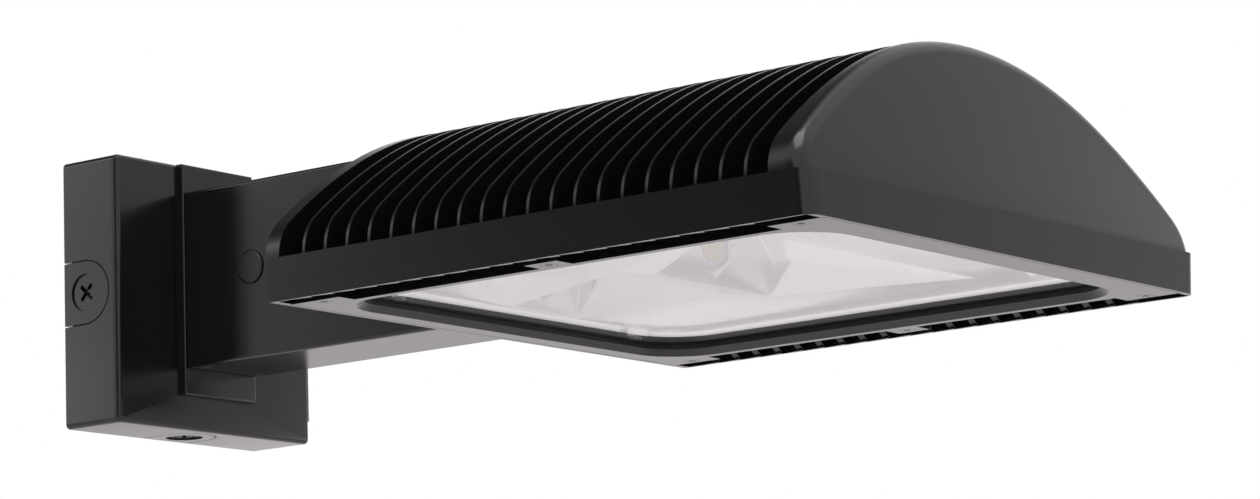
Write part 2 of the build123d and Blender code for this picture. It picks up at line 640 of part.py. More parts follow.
def arm_casting():
    body = block(-ARM_HALF, ARM_HALF, ARM_REAR_Y, ARM_FRONT_Y, ARM_BOTTOM_Z, ARM_TOP_Z)
    body = fillet(body.edges().filter_by(Axis.Y), ARM_EDGE_R)
    inner = ARM_HALF - ARM_WALL
    hollow_rear = ARM_REAR_Y - ARM_END_WALL
    hollow_front = ARM_FRONT_Y + ARM_END_WALL
    floor_z = HATCH_TOP_Z + HATCH_SEAL_T + HATCH_LEDGE_T
    body -= block(-inner, inner, hollow_rear, hollow_front, floor_z, ARM_CEILING_Z)

    # hatch seat in the underside: a recess for the lid and a smaller opening above it
    lid_half = HATCH_WIDTH / 2 + HATCH_GAP
    body -= block(-lid_half, lid_half, HATCH_REAR_Y + HATCH_GAP, HATCH_FRONT_Y - HATCH_GAP,
                  ARM_BOTTOM_Z - 1, HATCH_TOP_Z + HATCH_SEAL_T)
    open_half = HATCH_WIDTH / 2 - HATCH_LEDGE
    body -= block(-open_half, open_half, HATCH_REAR_Y - HATCH_LEDGE, HATCH_FRONT_Y + HATCH_LEDGE,
                  ARM_BOTTOM_Z, floor_z + 1)
    for x, y in hatch_screw_places():
        body += rod_z(HATCH_LEDGE, x, y, HATCH_TOP_Z + HATCH_SEAL_T, floor_z + HATCH_LEDGE)
        body -= rod_z(HATCH_SCREW_R, x, y, HATCH_TOP_Z, floor_z + HATCH_LEDGE - HATCH_BOSS_CAP)

    # screws at both ends, wire ways, sensor hole, posts that carry the driver
    for x, z in box_bolt_places():
        body -= rod_y(ARM_BOLT_R, x, ARM_REAR_Y + 1, ARM_REAR_Y - ARM_BOLT_BITE, z)
    for x, z in head_bolt_places():
        body -= rod_y(ARM_BOLT_R, x, ARM_FRONT_Y - 1, ARM_FRONT_Y + ARM_BOLT_BITE, z)
    body -= rod_y(WIRE_HOLE_R, 0, ARM_REAR_Y + 1, hollow_rear - 1, BOX_JOINT_Z)
    body -= rod_y(WIRE_HOLE_R, 0, ARM_FRONT_Y - 1, hollow_front + 1, HEAD_JOINT_Z)
    body -= rod_x(SENSOR_HOLE_R, -ARM_HALF - 1, -inner + 1, SENSOR_HOLE_Y, SENSOR_HOLE_Z)
    ring = rod_x(SENSOR_PLUG_R + SENSOR_RING_WIDTH, -ARM_HALF - 1, -ARM_HALF + SENSOR_RING_DEPTH,
                 SENSOR_HOLE_Y, SENSOR_HOLE_Z)
    body -= ring - rod_x(SENSOR_PLUG_R, -ARM_HALF - 1, -ARM_HALF + SENSOR_RING_DEPTH,
                         SENSOR_HOLE_Y, SENSOR_HOLE_Z)
    for y in driver_screw_ys():
        body += rod_z(DRIVER_POST_R, 0, y, DRIVER_TOP_Z, ARM_CEILING_Z + 1)
        body -= rod_z(DRIVER_SCREW_R, 0, y, DRIVER_TOP_Z - 1, DRIVER_TOP_Z + DRIVER_SCREW_BITE)
    return body


def hatch_screw_places():
    """Lid screws at the four corners of the hatch."""
    x = HATCH_WIDTH / 2 - HATCH_LEDGE
    y0 = HATCH_REAR_Y - HATCH_LEDGE
    y1 = HATCH_FRONT_Y + HATCH_LEDGE
    return [(side * x, y) for side in (-1, 1) for y in (y0, y1)]


def hatch_lid():
    half = HATCH_WIDTH / 2
    lid = block(-half, half, HATCH_REAR_Y, HATCH_FRONT_Y, ARM_BOTTOM_Z, HATCH_TOP_Z)
    for x, y in hatch_screw_places():
        lid -= rod_z(HATCH_SCREW_R, x, y, ARM_BOTTOM_Z - 1, HATCH_TOP_Z + 1)
        lid -= rod_z(HATCH_SCREW_HEAD_R + HATCH_GAP / 2, x, y, ARM_BOTTOM_Z - 1,
                     ARM_BOTTOM_Z + HATCH_SCREW_HEAD_H)
    return lid


def hatch_seal():
    half = HATCH_WIDTH / 2
    inner = half - HATCH_LEDGE
    top_z = HATCH_TOP_Z + HATCH_SEAL_T
    seal = block(-half, half, HATCH_REAR_Y, HATCH_FRONT_Y, HATCH_TOP_Z, top_z)
    seal -= block(-inner, inner, HATCH_REAR_Y - HATCH_LEDGE, HATCH_FRONT_Y + HATCH_LEDGE, HATCH_TOP_Z, top_z)
    for x, y in hatch_screw_places():
        seal -= rod_z(HATCH_SCREW_R, x, y, HATCH_TOP_Z, top_z)
    return seal


def hatch_screws():
    seat_z = ARM_BOTTOM_Z + HATCH_SCREW_HEAD_H
    length = HATCH_T - HATCH_SCREW_HEAD_H + HATCH_SEAL_T + HATCH_LEDGE_T + HATCH_LEDGE - HATCH_BOSS_CAP
    screws = [pan_screw_z(x, y, seat_z, 1, HATCH_SCREW_R, length, HATCH_SCREW_HEAD_R, HATCH_SCREW_HEAD_H)
              for x, y in hatch_screw_places()]
    return Compound(children=screws)


def sensor_plug():
    """Snap-in button that closes the sensor hole in the arm's left wall."""
    face_x = -ARM_HALF
    button = rod_x(SENSOR_PLUG_R, face_x - SENSOR_PLUG_PROUD, face_x, SENSOR_HOLE_Y, SENSOR_HOLE_Z)
    button = fillet(button.edges().filter_by(GeomType.CIRCLE).sort_by(Axis.X)[0], SENSOR_PLUG_PROUD * SENSOR_DOME_SHARE)
    stem = rod_x(SENSOR_HOLE_R, face_x, face_x + SENSOR_PLUG_DEPTH, SENSOR_HOLE_Y, SENSOR_HOLE_Z)
    core = rod_x(SENSOR_HOLE_R - SENSOR_PLUG_WALL, face_x + SENSOR_PLUG_WALL,
                 face_x + SENSOR_PLUG_DEPTH + 1, SENSOR_HOLE_Y, SENSOR_HOLE_Z)
    return button + stem - core


def driver_screw_ys():
    offset = DRIVER_LENGTH / 2 + DRIVER_FOOT / 2
    return (DRIVER_MID_Y - offset, DRIVER_MID_Y + offset)


def led_driver():
    """Sealed driver can with a foot at each end, screwed to the posts."""
    half = DRIVER_WIDTH / 2
    half_length = DRIVER_LENGTH / 2
    can = block(-half, half, DRIVER_MID_Y - half_length, DRIVER_MID_Y + half_length,
                DRIVER_TOP_Z - DRIVER_HEIGHT, DRIVER_TOP_Z)
    can = fillet(can.edges().filter_by(Axis.Y), DRIVER_EDGE_R)
    reach = half_length + DRIVER_FOOT
    foot = block(-half / 2, half / 2, DRIVER_MID_Y - reach, DRIVER_MID_Y + reach,
                 DRIVER_TOP_Z - DRIVER_FOOT_T, DRIVER_TOP_Z)
    can += foot
    for y in driver_screw_ys():
        can -= rod_z(DRIVER_SCREW_R, 0, y, DRIVER_TOP_Z - DRIVER_FOOT_T - 1, DRIVER_TOP_Z + 1)
    return can


def driver_screws():
    seat_z = DRIVER_TOP_Z - DRIVER_FOOT_T
    length = DRIVER_FOOT_T + DRIVER_SCREW_BITE - TIP_GAP
    screws = [pan_screw_z(0, y, seat_z, 1, DRIVER_SCREW_R, length, DRIVER_SCREW_HEAD_R, DRIVER_SCREW_HEAD_H)
              for y in driver_screw_ys()]
    return Compound(children=screws)


# ---- head casting -------------------------------------------------------------------------

def crown_z(x):
    """Height of the crown arc above the head's bottom."""
    return ARCH_HEIGHT - CROWN_R + math.sqrt(CROWN_R**2 - x**2)


def arch_profile(y):
    """Front outline of the head at one Y: drafted band, shoulders, flanks and crown."""
    foot = HEAD_WIDTH / 2 - BAND_DRAFT
    side = HEAD_WIDTH / 2
    shoulder = side - SHOULDER_IN
    shoulder_z = BAND_HEIGHT + SHOULDER_RISE
    crown_end_z = crown_z(CROWN_HALF)
    crown_fall = CROWN_HALF / math.sqrt(CROWN_R**2 - CROWN_HALF**2)

    def at(x, z):
        return (x, y, HEAD_BOTTOM_Z + z)

    edges = [Line(at(-foot, 0), at(foot, 0)),
             ThreePointArc(at(-CROWN_HALF, crown_end_z), at(0, ARCH_HEIGHT), at(CROWN_HALF, crown_end_z))]
    for s in (-1, 1):
        edges.append(Line(at(s * foot, 0), at(s * side, BAND_HEIGHT)))
        edges.append(TangentArc(at(s * side, BAND_HEIGHT), at(s * shoulder, shoulder_z), tangent=(0, 0, 1)))
        edges.append(TangentArc(at(s * CROWN_HALF, crown_end_z), at(s * shoulder, shoulder_z),
                                tangent=(s, 0, -crown_fall)))
    return Face(Wire(edges))


def arch_slab(y0, y1):
    """Slab with the head's front outline, from y0 forward to y1."""
    return extrude(arch_profile(y0), abs(y1 - y0), dir=(0, -1, 0))


def core_points(wall, bottom_z):
    """Outline of the lamp chamber in front view, drawn in by one wall."""
    side = CORE_HALF - wall
    top = CORE_TOP_HALF - wall
    shoulder_z = HEAD_BOTTOM_Z + CORE_SIDE_Z - wall / 2
    top_z = HEAD_BOTTOM_Z + CORE_TOP_Z - wall
    right = [(side, bottom_z), (side, shoulder_z), (top, top_z)]
    return right + [(-x, z) for x, z in reversed(right)]


def frame_outline(grow, z0, z1):
    """Outline of the lens frame with its corner pads and middle tabs, grown all round."""
    half = CORE_HALF + grow
    rear = FRAME_REAR_Y + grow
    front = FRAME_FRONT_Y - grow
    shape = block(-half, half, rear, front, z0, z1)
    pad_half = CORE_HALF + CORNER_PAD_OUT + grow
    pad_length = CORNER_PAD_LENGTH + 2 * grow
    shape += block(-pad_half, pad_half, rear, rear - pad_length, z0, z1)
    shape += block(-pad_half, pad_half, front, front + pad_length, z0, z1)
    tab_half = TAB_LENGTH / 2 + grow
    shape += block(-CORE_HALF - TAB_OUT - grow, CORE_HALF + TAB_OUT + grow,
                   TAB_Y - tab_half, TAB_Y + tab_half, z0, z1)
    return shape


def fin_blank(y0):
    """One cooling fin: the arch from the core out to the edge, with legs beside the core."""
    fin = arch_slab(y0, y0 - FIN_T)
    fin -= prism_y(core_points(CORE_WALL / 2, HEAD_BOTTOM_Z - 1), y0 + 1, y0 - FIN_T - 1)
    side = HEAD_WIDTH
    return fin - block(-side, side, y0 + 1, y0 - FIN_T - 1, HEAD_BOTTOM_Z - 1, HEAD_BOTTOM_Z + FIN_LEG_Z)


def cap():
    """Front end: an upright band below the crease, and a tilted face with soft edges above."""
    start_y = CAP_REAR_Y + CAP_ROOM
    crease_z = HEAD_BOTTOM_Z + BAND_HEIGHT
    reach = HEAD_WIDTH
    top_z = HEAD_BOTTOM_Z + ARCH_HEIGHT + CAP_ROOM
    slope = math.tan(math.radians(CAP_TILT_DEG))
    face_y = HEAD_FRONT_Y + CREASE_STEP

    lower = arch_slab(start_y, HEAD_FRONT_Y)
    lower = lower & block(-reach, reach, start_y, HEAD_FRONT_Y, HEAD_BOTTOM_Z, crease_z)
    front_corners = lower.faces().sort_by(Axis.Y)[0].edges().filter_by(Axis.X, reverse=True)
    lower = fillet(front_corners, CAP_EDGE_R)

    upper = arch_slab(start_y, HEAD_FRONT_Y - CAP_ROOM)
    below_z = HEAD_BOTTOM_Z - FACE_OVERRUN
    low_y = face_y - slope * BAND_HEIGHT
    high_y = face_y + slope * (top_z - crease_z)
    beyond_y = HEAD_FRONT_Y - reach
    upper -= prism_x([(low_y, below_z), (high_y, top_z), (beyond_y, top_z), (beyond_y, below_z)], -reach, reach)
    face = upper.faces().sort_by(Axis.Y)[0]
    rim = face.edges().filter_by(lambda e: e.bounding_box().max.Z > HEAD_BOTTOM_Z + 1)
    upper = fillet(rim, CAP_EDGE_R)
    upper = upper & block(-reach, reach, start_y, beyond_y, crease_z - CREASE_STEP, top_z)

    whole = lower + upper
    return whole & block(-reach, reach, CAP_REAR_Y, HEAD_FRONT_Y - 1, HEAD_BOTTOM_Z - 1, top_z)


def side_band(side):
    """Thin drafted wall along one side, which ties the fin ends together."""
    foot = HEAD_WIDTH / 2 - BAND_DRAFT
    points = [(side * foot, HEAD_BOTTOM_Z),
              (side * HEAD_WIDTH / 2, HEAD_BOTTOM_Z + BAND_HEIGHT),
              (side * (HEAD_WIDTH / 2 - BAND_T), HEAD_BOTTOM_Z + BAND_HEIGHT),
              (side * (foot - BAND_T), HEAD_BOTTOM_Z)]
    return prism_y(points, HEAD_REAR_Y, CAP_REAR_Y)


def fin_feet(y0):
    """Wedges that join one fin to both bands, thick at the fin and thin towards the wall."""
    foot = HEAD_WIDTH / 2 - BAND_DRAFT - BAND_T
    rise = math.hypot(BAND_DRAFT, BAND_HEIGHT)
    feet = []
    for side in (-1, 1):
        points = [(side * (foot + BAND_T / 2), y0 + BAND_FOOT_LENGTH, HEAD_BOTTOM_Z),
                  (side * foot, y0 + BAND_FOOT_LENGTH, HEAD_BOTTOM_Z),
                  (side * (foot - BAND_FOOT_T), y0 - FIN_T, HEAD_BOTTOM_Z),
                  (side * (foot + BAND_T / 2), y0 - FIN_T, HEAD_BOTTOM_Z)]
        outline = Face(Wire.make_polygon(points, close=True))
        feet.append(extrude(outline, rise, dir=(side * BAND_DRAFT, 0, BAND_HEIGHT)))
    return feet


def frame_screw_places():
    return [(side * FRAME_SCREW_X, y) for side in (-1, 1) for y in FRAME_SCREW_YS]


def post_places():
    """Posts that carry the reflector."""
    x = CORE_HALF - POST_INSET_X
    return [(side * x, y) for side in (-1, 1)
            for y in (CAVITY_REAR_Y - POST_REAR_IN, CAVITY_FRONT_Y + POST_FRONT_IN)]


def engine_place(rear_y):
    """Place of a light engine: its Z axis points out of the pocket's rear wall."""
    wall_y = rear_y - LED_LEAN * LED_HEIGHT
    return Pos(0, wall_y, SHEET_BOTTOM_Z + LED_HEIGHT) * Rot(90 + LED_TILT_DEG, 0, 0)


def engine_rib(rear_y):
    """Rib hanging from the chamber's ceiling, whose front face carries a light engine."""
    seat_y = rear_y + LED_SEAT / math.cos(math.radians(LED_TILT_DEG))
    foot_z = SHEET_TOP_Z + LED_RIB_FOOT
    top_z = CAVITY_TOP_Z + 1
    foot_y = seat_y - LED_LEAN * (foot_z - SHEET_BOTTOM_Z)
    top_y = seat_y - LED_LEAN * (top_z - SHEET_BOTTOM_Z)
    half = LED_RIB_WIDTH / 2
    points = [(foot_y, foot_z), (top_y, top_z), (foot_y + LED_RIB_T, top_z), (foot_y + LED_RIB_T, foot_z)]
    return prism_x(points, -half, half)


def head_housing():
    core = prism_y(core_points(0, FRAME_TOP_Z), HEAD_REAR_Y, CAP_REAR_Y)
    rear_plate = arch_slab(HEAD_REAR_Y, HEAD_REAR_Y - REAR_PLATE_T)
    body = core + rear_plate + cap() + side_band(-1) + side_band(1)
    blank = fin_blank(0)
    fins = [Pos(0, FIN_FIRST_Y - FIN_PITCH * i, 0) * blank for i in range(FIN_COUNT)]
    for x, y in frame_screw_places():
        body += rod_z(FRAME_BOSS_R, x, y, FRAME_TOP_Z, FRAME_TOP_Z + FRAME_BOSS_H)
    feet = [Pos(0, FIN_FIRST_Y - FIN_PITCH * i, 0) * foot for i in range(FIN_COUNT) for foot in fin_feet(0)]
    body = body.fuse(*fins, *feet)

    # lamp chamber, open downwards, and the seat of the lens frame
    chamber = prism_y(core_points(CORE_WALL, HEAD_BOTTOM_Z - 1), CAVITY_REAR_Y, CAVITY_FRONT_Y)
    body -= chamber
    body -= frame_outline(FRAME_GAP, HEAD_BOTTOM_Z - 1, FRAME_TOP_Z)

    # air gap beside the lens frame carries on into both ends of the casting
    gap_in = CORE_HALF + FRAME_GAP
    gap_out = HEAD_WIDTH / 2 - BAND_DRAFT - BAND_T
    for side in (-1, 1):
        body -= block(side * gap_in, side * gap_out, CAP_REAR_Y + 1, FRAME_FRONT_Y + BAND_T,
                      HEAD_BOTTOM_Z - 1, FRAME_TOP_Z + AIR_GAP_RISE)
        body -= block(side * gap_in, side * gap_out, FRAME_REAR_Y - BAND_T, HEAD_REAR_Y - REAR_PLATE_T - 1,
                      HEAD_BOTTOM_Z - 1, FRAME_TOP_Z + AIR_GAP_RISE)

    # ribs for the light engines and posts for the reflector inside the chamber
    for rear_y in POCKET_REAR_YS:
        body += engine_rib(rear_y)
        for side in (-1, 1):
            hole = Pos(side * LED_SCREW_SPAN / 2, 0, -LED_SEAT - LED_SCREW_BITE / 2)
            body -= engine_place(rear_y) * hole * Cylinder(LED_SCREW_R, LED_SCREW_BITE)
    for x, y in post_places():
        body += rod_z(POST_R, x, y, SHEET_TOP_Z, CAVITY_TOP_Z + 1)
        body -= rod_z(REFLECTOR_SCREW_R, x, y, SHEET_BOTTOM_Z, SHEET_TOP_Z + REFLECTOR_SCREW_BITE)

    # holes: arm bolts, wire way, lens frame screws
    for x, z in head_bolt_places():
        body -= rod_y(ARM_BOLT_R, x, HEAD_REAR_Y + 1, CAVITY_REAR_Y - 1, z)
    body -= rod_y(WIRE_HOLE_R, 0, HEAD_REAR_Y + 1, CAVITY_REAR_Y - 1, HEAD_JOINT_Z)
    for x, y in frame_screw_places():
        body -= rod_z(FRAME_SCREW_R, x, y, FRAME_TOP_Z - 1, FRAME_TOP_Z + FRAME_SCREW_BITE)
    return body


# ---- lens frame, glass and seals ----------------------------------------------------------

def glass_slab(grow, z0, z1):
    """The glass pane's outline, grown all round."""
    return rounded_slab(GLASS_HALF + grow, GLASS_REAR_Y + grow, GLASS_FRONT_Y - grow, z0, z1, GLASS_R + grow)


def glass_ring(width, z0, z1):
    """Ring under or over the rim of the glass."""
    return ring_slab(GLASS_HALF, GLASS_REAR_Y, GLASS_FRONT_Y, z0, z1, GLASS_R, width)


def frame_seal_ring(z0, z1):
    """Cord seal in the frame's upper rim, outside the glass."""
    grow = GLASS_GAP + FRAME_SEAL_OFFSET + FRAME_SEAL_WIDTH
    return ring_slab(GLASS_HALF + grow, GLASS_REAR_Y + grow, GLASS_FRONT_Y - grow, z0, z1,
                     GLASS_R + grow, FRAME_SEAL_WIDTH)


def lens_frame():
    body = frame_outline(0, HEAD_BOTTOM_Z, FRAME_TOP_Z)
    body -= glass_slab(GLASS_GAP, HEAD_BOTTOM_Z + LIP_T, FRAME_TOP_Z + 1)
    body -= rounded_slab(WINDOW_HALF, WINDOW_REAR_Y, WINDOW_FRONT_Y, HEAD_BOTTOM_Z - 1, FRAME_TOP_Z, WINDOW_R)
    body -= frame_seal_ring(FRAME_TOP_Z - FRAME_SEAL_DEPTH, FRAME_TOP_Z + 1)
    for x, y in frame_screw_places():
        body -= rod_z(FRAME_SCREW_R, x, y, HEAD_BOTTOM_Z - 1, FRAME_TOP_Z + 1)
        body -= rod_z(FRAME_SCREW_HEAD_R + FRAME_SCREW_GAP, x, y, HEAD_BOTTOM_Z - 1,
                      HEAD_BOTTOM_Z + FRAME_SCREW_RECESS)
    return body


def lens_frame_screws():
    seat_z = HEAD_BOTTOM_Z + FRAME_SCREW_RECESS
    length = FRAME_HEIGHT - FRAME_SCREW_RECESS + FRAME_SCREW_BITE - TIP_GAP
    screws = [pan_screw_z(x, y, seat_z, 1, FRAME_SCREW_R, length, FRAME_SCREW_HEAD_R, FRAME_SCREW_HEAD_H)
              for x, y in frame_screw_places()]
    return Compound(children=screws)


# ---- reflector and light engines ----------------------------------------------------------

def pocket_solid(rear_y, grow):
    """Room over one light engine: upright sides, a hipped roof and a rear wall that leans forward."""
    low_z = SHEET_BOTTOM_Z
    eaves_z = low_z + POCKET_EAVES + grow / 2
    roof_z = low_z + POCKET_RISE + grow
    side = POCKET_HALF + grow
    roof_half = ROOF_HALF + grow / 2
    back_y = rear_y + grow / math.cos(math.radians(LED_TILT_DEG))
    roof_rear_y = back_y - LED_LEAN * (roof_z - low_z)
    roof_front_y = rear_y - LED_LEAN * POCKET_RISE - ROOF_LENGTH - grow / 2
    front_y = rear_y - POCKET_LENGTH - grow
    profile = prism_x([(back_y, low_z), (roof_rear_y, roof_z), (roof_front_y, roof_z),
                       (front_y, eaves_z), (front_y, low_z)], -side, side)
    right = [(side, low_z), (side, eaves_z), (roof_half, roof_z)]
    return profile & prism_y(right + [(-x, z) for x, z in reversed(right)], back_y, front_y)


def reflector():
    """Bright sheet over the glass with one pocket for each light engine."""
    sheet = rounded_slab(GLASS_HALF - SHEET_GAP, CAVITY_REAR_Y - SHEET_GAP, CAVITY_FRONT_Y + SHEET_GAP,
                         SHEET_BOTTOM_Z, SHEET_TOP_Z, GLASS_R)
    for rear_y in POCKET_REAR_YS:
        sheet += pocket_solid(rear_y, SHEET_T)
    for rear_y in POCKET_REAR_YS:
        sheet -= pocket_solid(rear_y, 0)
        sheet -= engine_place(rear_y) * Cylinder(LED_WINDOW_R, LED_SEAT)
    for x, y in post_places():
        sheet -= rod_z(REFLECTOR_SCREW_R, x, y, SHEET_BOTTOM_Z - 1, SHEET_TOP_Z + 1)
    return sheet


def reflector_screws():
    length = SHEET_T + REFLECTOR_SCREW_BITE - TIP_GAP
    screws = [pan_screw_z(x, y, SHEET_BOTTOM_Z, 1, REFLECTOR_SCREW_R, length, REFLECTOR_SCREW_HEAD_R,
                          REFLECTOR_SCREW_HEAD_H)
              for x, y in post_places()]
    return Compound(children=screws)


def led_board(rear_y):
    """Square metal-core board of one light engine, on its rib."""
    board = Pos(0, 0, -LED_SEAT + LED_BOARD_T / 2) * Box(LED_BOARD, LED_BOARD, LED_BOARD_T)
    return engine_place(rear_y) * board


def led_emitter(rear_y):
    """Round phosphor patch on the board."""
    disc = Pos(0, 0, -LED_SEAT + LED_BOARD_T + LED_DISC_T / 2) * Cylinder(LED_DISC_R, LED_DISC_T)
    return engine_place(rear_y) * disc


def led_holder(rear_y):
    """White clamp ring round the board, screwed to the rib."""
    base = (Align.CENTER, Align.CENTER, Align.MIN)
    ring = Cylinder(LED_HOLDER_R, LED_HOLDER_T, align=base)
    room = LED_BOARD + 2 * LED_BOARD_GAP
    ring -= Box(room, room, LED_BOARD_T, align=base)
    land_r = LED_DISC_R + LED_HOLDER_LAND
    ring -= Cone(land_r, land_r + LED_HOLDER_FLARE, LED_HOLDER_T, align=base)
    for side in (-1, 1):
        ring -= Pos(side * LED_SCREW_SPAN / 2, 0, 0) * Cylinder(LED_SCREW_R, 2 * LED_HOLDER_T)
    return engine_place(rear_y) * Pos(0, 0, -LED_SEAT) * ring


def led_holder_screws():
    seat_z = LED_HOLDER_T - LED_SEAT
    length = LED_HOLDER_T + LED_SCREW_BITE - TIP_GAP
    screws = [engine_place(rear_y) * pan_screw_z(side * LED_SCREW_SPAN / 2, 0, seat_z, -1, LED_SCREW_R, length,
                                                 LED_SCREW_HEAD_R, LED_SCREW_HEAD_H)
              for rear_y in POCKET_REAR_YS for side in (-1, 1)]
    return Compound(children=screws)


# ---- the whole light, one node to a file --------------------------------------------------

def build_nodes():
    nodes = {
        "wall_box": wall_box(),
        "wall_seal": wall_seal_ring(0),
        "hinge_pins": hinge_pins(),
        "clamp_screw": clamp_screw(),
        "terminal_block": terminal_block(),
        "earth_screw": earth_screw(),
        "front_cover": front_cover(),
        "cover_gasket": cover_gasket(),
    }
    for name, turn in entry_places():
        nodes["conduit_insert_" + name] = conduit_insert(name, turn)
        nodes["conduit_plug_" + name] = conduit_plug(name, turn)

    box_seat_y = SEAM_Y - ARM_BOLT_HEAD_H
    nodes["arm_seal_box"] = joint_seal(PAD_FRONT_Y, ARM_REAR_Y, box_bolt_places(), BOX_JOINT_Z)
    nodes["arm_bolts_box"] = arm_bolts(box_seat_y, -1, box_seat_y - ARM_REAR_Y, box_bolt_places())
    nodes["wire_grommet_box"] = wire_grommet(SEAM_Y, -1, COVER_T + PAD_PROUD, BOX_JOINT_Z)
    nodes["arm_casting"] = arm_casting()
    nodes["sensor_hole_plug"] = sensor_plug()
    nodes["arm_hatch_lid"] = hatch_lid()
    nodes["arm_hatch_seal"] = hatch_seal()
    nodes["arm_hatch_screws"] = hatch_screws()
    nodes["led_driver"] = led_driver()
    nodes["driver_screws"] = driver_screws()

    nodes["arm_seal_head"] = joint_seal(ARM_FRONT_Y, HEAD_REAR_Y, head_bolt_places(), HEAD_JOINT_Z)
    nodes["arm_bolts_head"] = arm_bolts(CAVITY_REAR_Y, 1, ARM_FRONT_Y - CAVITY_REAR_Y, head_bolt_places())
    nodes["wire_grommet_head"] = wire_grommet(CAVITY_REAR_Y, 1, HEAD_REAR_Y - CAVITY_REAR_Y, HEAD_JOINT_Z)
    nodes["head_housing"] = head_housing()
    nodes["lens_frame"] = lens_frame()
    nodes["lens_frame_seal"] = frame_seal_ring(FRAME_TOP_Z - FRAME_SEAL_DEPTH, FRAME_TOP_Z)
    nodes["lens_frame_screws"] = lens_frame_screws()
    nodes["glass_seal_lower"] = glass_ring(GLASS_OVERLAP, GLASS_BOTTOM_Z - GLASS_SEAL_T, GLASS_BOTTOM_Z)
    nodes["lens_glass"] = glass_slab(0, GLASS_BOTTOM_Z, GLASS_TOP_Z)
    nodes["glass_seal_upper"] = glass_ring(GLASS_UPPER_SEAL, GLASS_TOP_Z, SHEET_BOTTOM_Z)
    nodes["reflector"] = reflector()
    nodes["reflector_screws"] = reflector_screws()
    for place, rear_y in zip(("rear", "front"), POCKET_REAR_YS):
        nodes["led_board_" + place] = led_board(rear_y)
        nodes["led_emitter_" + place] = led_emitter(rear_y)
        nodes["led_holder_" + place] = led_holder(rear_y)
    nodes["led_holder_screws"] = led_holder_screws()
    return nodes


os.makedirs("parts", exist_ok=True)
for node_name, shape in build_nodes().items():
    export_step(shape, "parts/" + node_name + ".step")
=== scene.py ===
import json
import logging
import math
from dataclasses import dataclass
from enum import Enum

import bmesh
import bpy
import numpy as np
from mathutils import Matrix, Vector


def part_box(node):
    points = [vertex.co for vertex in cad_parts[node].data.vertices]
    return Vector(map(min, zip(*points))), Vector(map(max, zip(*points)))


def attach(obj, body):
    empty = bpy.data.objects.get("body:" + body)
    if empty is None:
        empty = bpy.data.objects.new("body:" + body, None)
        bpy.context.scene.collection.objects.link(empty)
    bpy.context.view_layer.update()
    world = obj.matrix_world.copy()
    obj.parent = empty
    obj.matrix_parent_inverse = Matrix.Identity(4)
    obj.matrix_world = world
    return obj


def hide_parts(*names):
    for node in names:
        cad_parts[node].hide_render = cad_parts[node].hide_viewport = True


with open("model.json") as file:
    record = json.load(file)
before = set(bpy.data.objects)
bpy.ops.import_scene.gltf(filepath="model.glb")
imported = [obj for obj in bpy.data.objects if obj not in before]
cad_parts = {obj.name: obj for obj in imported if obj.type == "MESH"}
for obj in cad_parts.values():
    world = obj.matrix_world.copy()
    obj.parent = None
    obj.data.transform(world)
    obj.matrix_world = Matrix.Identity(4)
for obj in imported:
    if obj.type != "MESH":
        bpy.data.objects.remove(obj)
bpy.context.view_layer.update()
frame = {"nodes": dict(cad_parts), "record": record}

LOG = logging.getLogger("wall_light")
MM = 0.001
NOISE_LOW = 0.3   # a noise value lies mostly between these two
NOISE_HIGH = 0.7


class Body(str, Enum):
    """The two bodies that the hinge joins."""

    BRACKET = "wall_bracket"
    LUMINAIRE = "luminaire"


# ---- node trees ---------------------------------------------------------------------------

def mapped(nodes: bpy.types.Nodes, links: bpy.types.NodeLinks, value: bpy.types.NodeSocket,
           span: tuple[float, float], onto: tuple[float, float], way: str) -> bpy.types.NodeSocket:
    """Maps a value from one range onto another, and holds it level beyond the ends.

    Args:
        nodes: the tree's nodes.
        links: the tree's links.
        value: the value.
        span: the range that it comes from.
        onto: the range that it goes to.
        way: the node's interpolation type.

    Returns:
        The mapped value.
    """
    node = nodes.new("ShaderNodeMapRange")
    node.interpolation_type = way
    for name, number in zip(("From Min", "From Max", "To Min", "To Max"), (*span, *onto)):
        node.inputs[name].default_value = number
    links.new(value, node.inputs["Value"])
    return node.outputs["Result"]


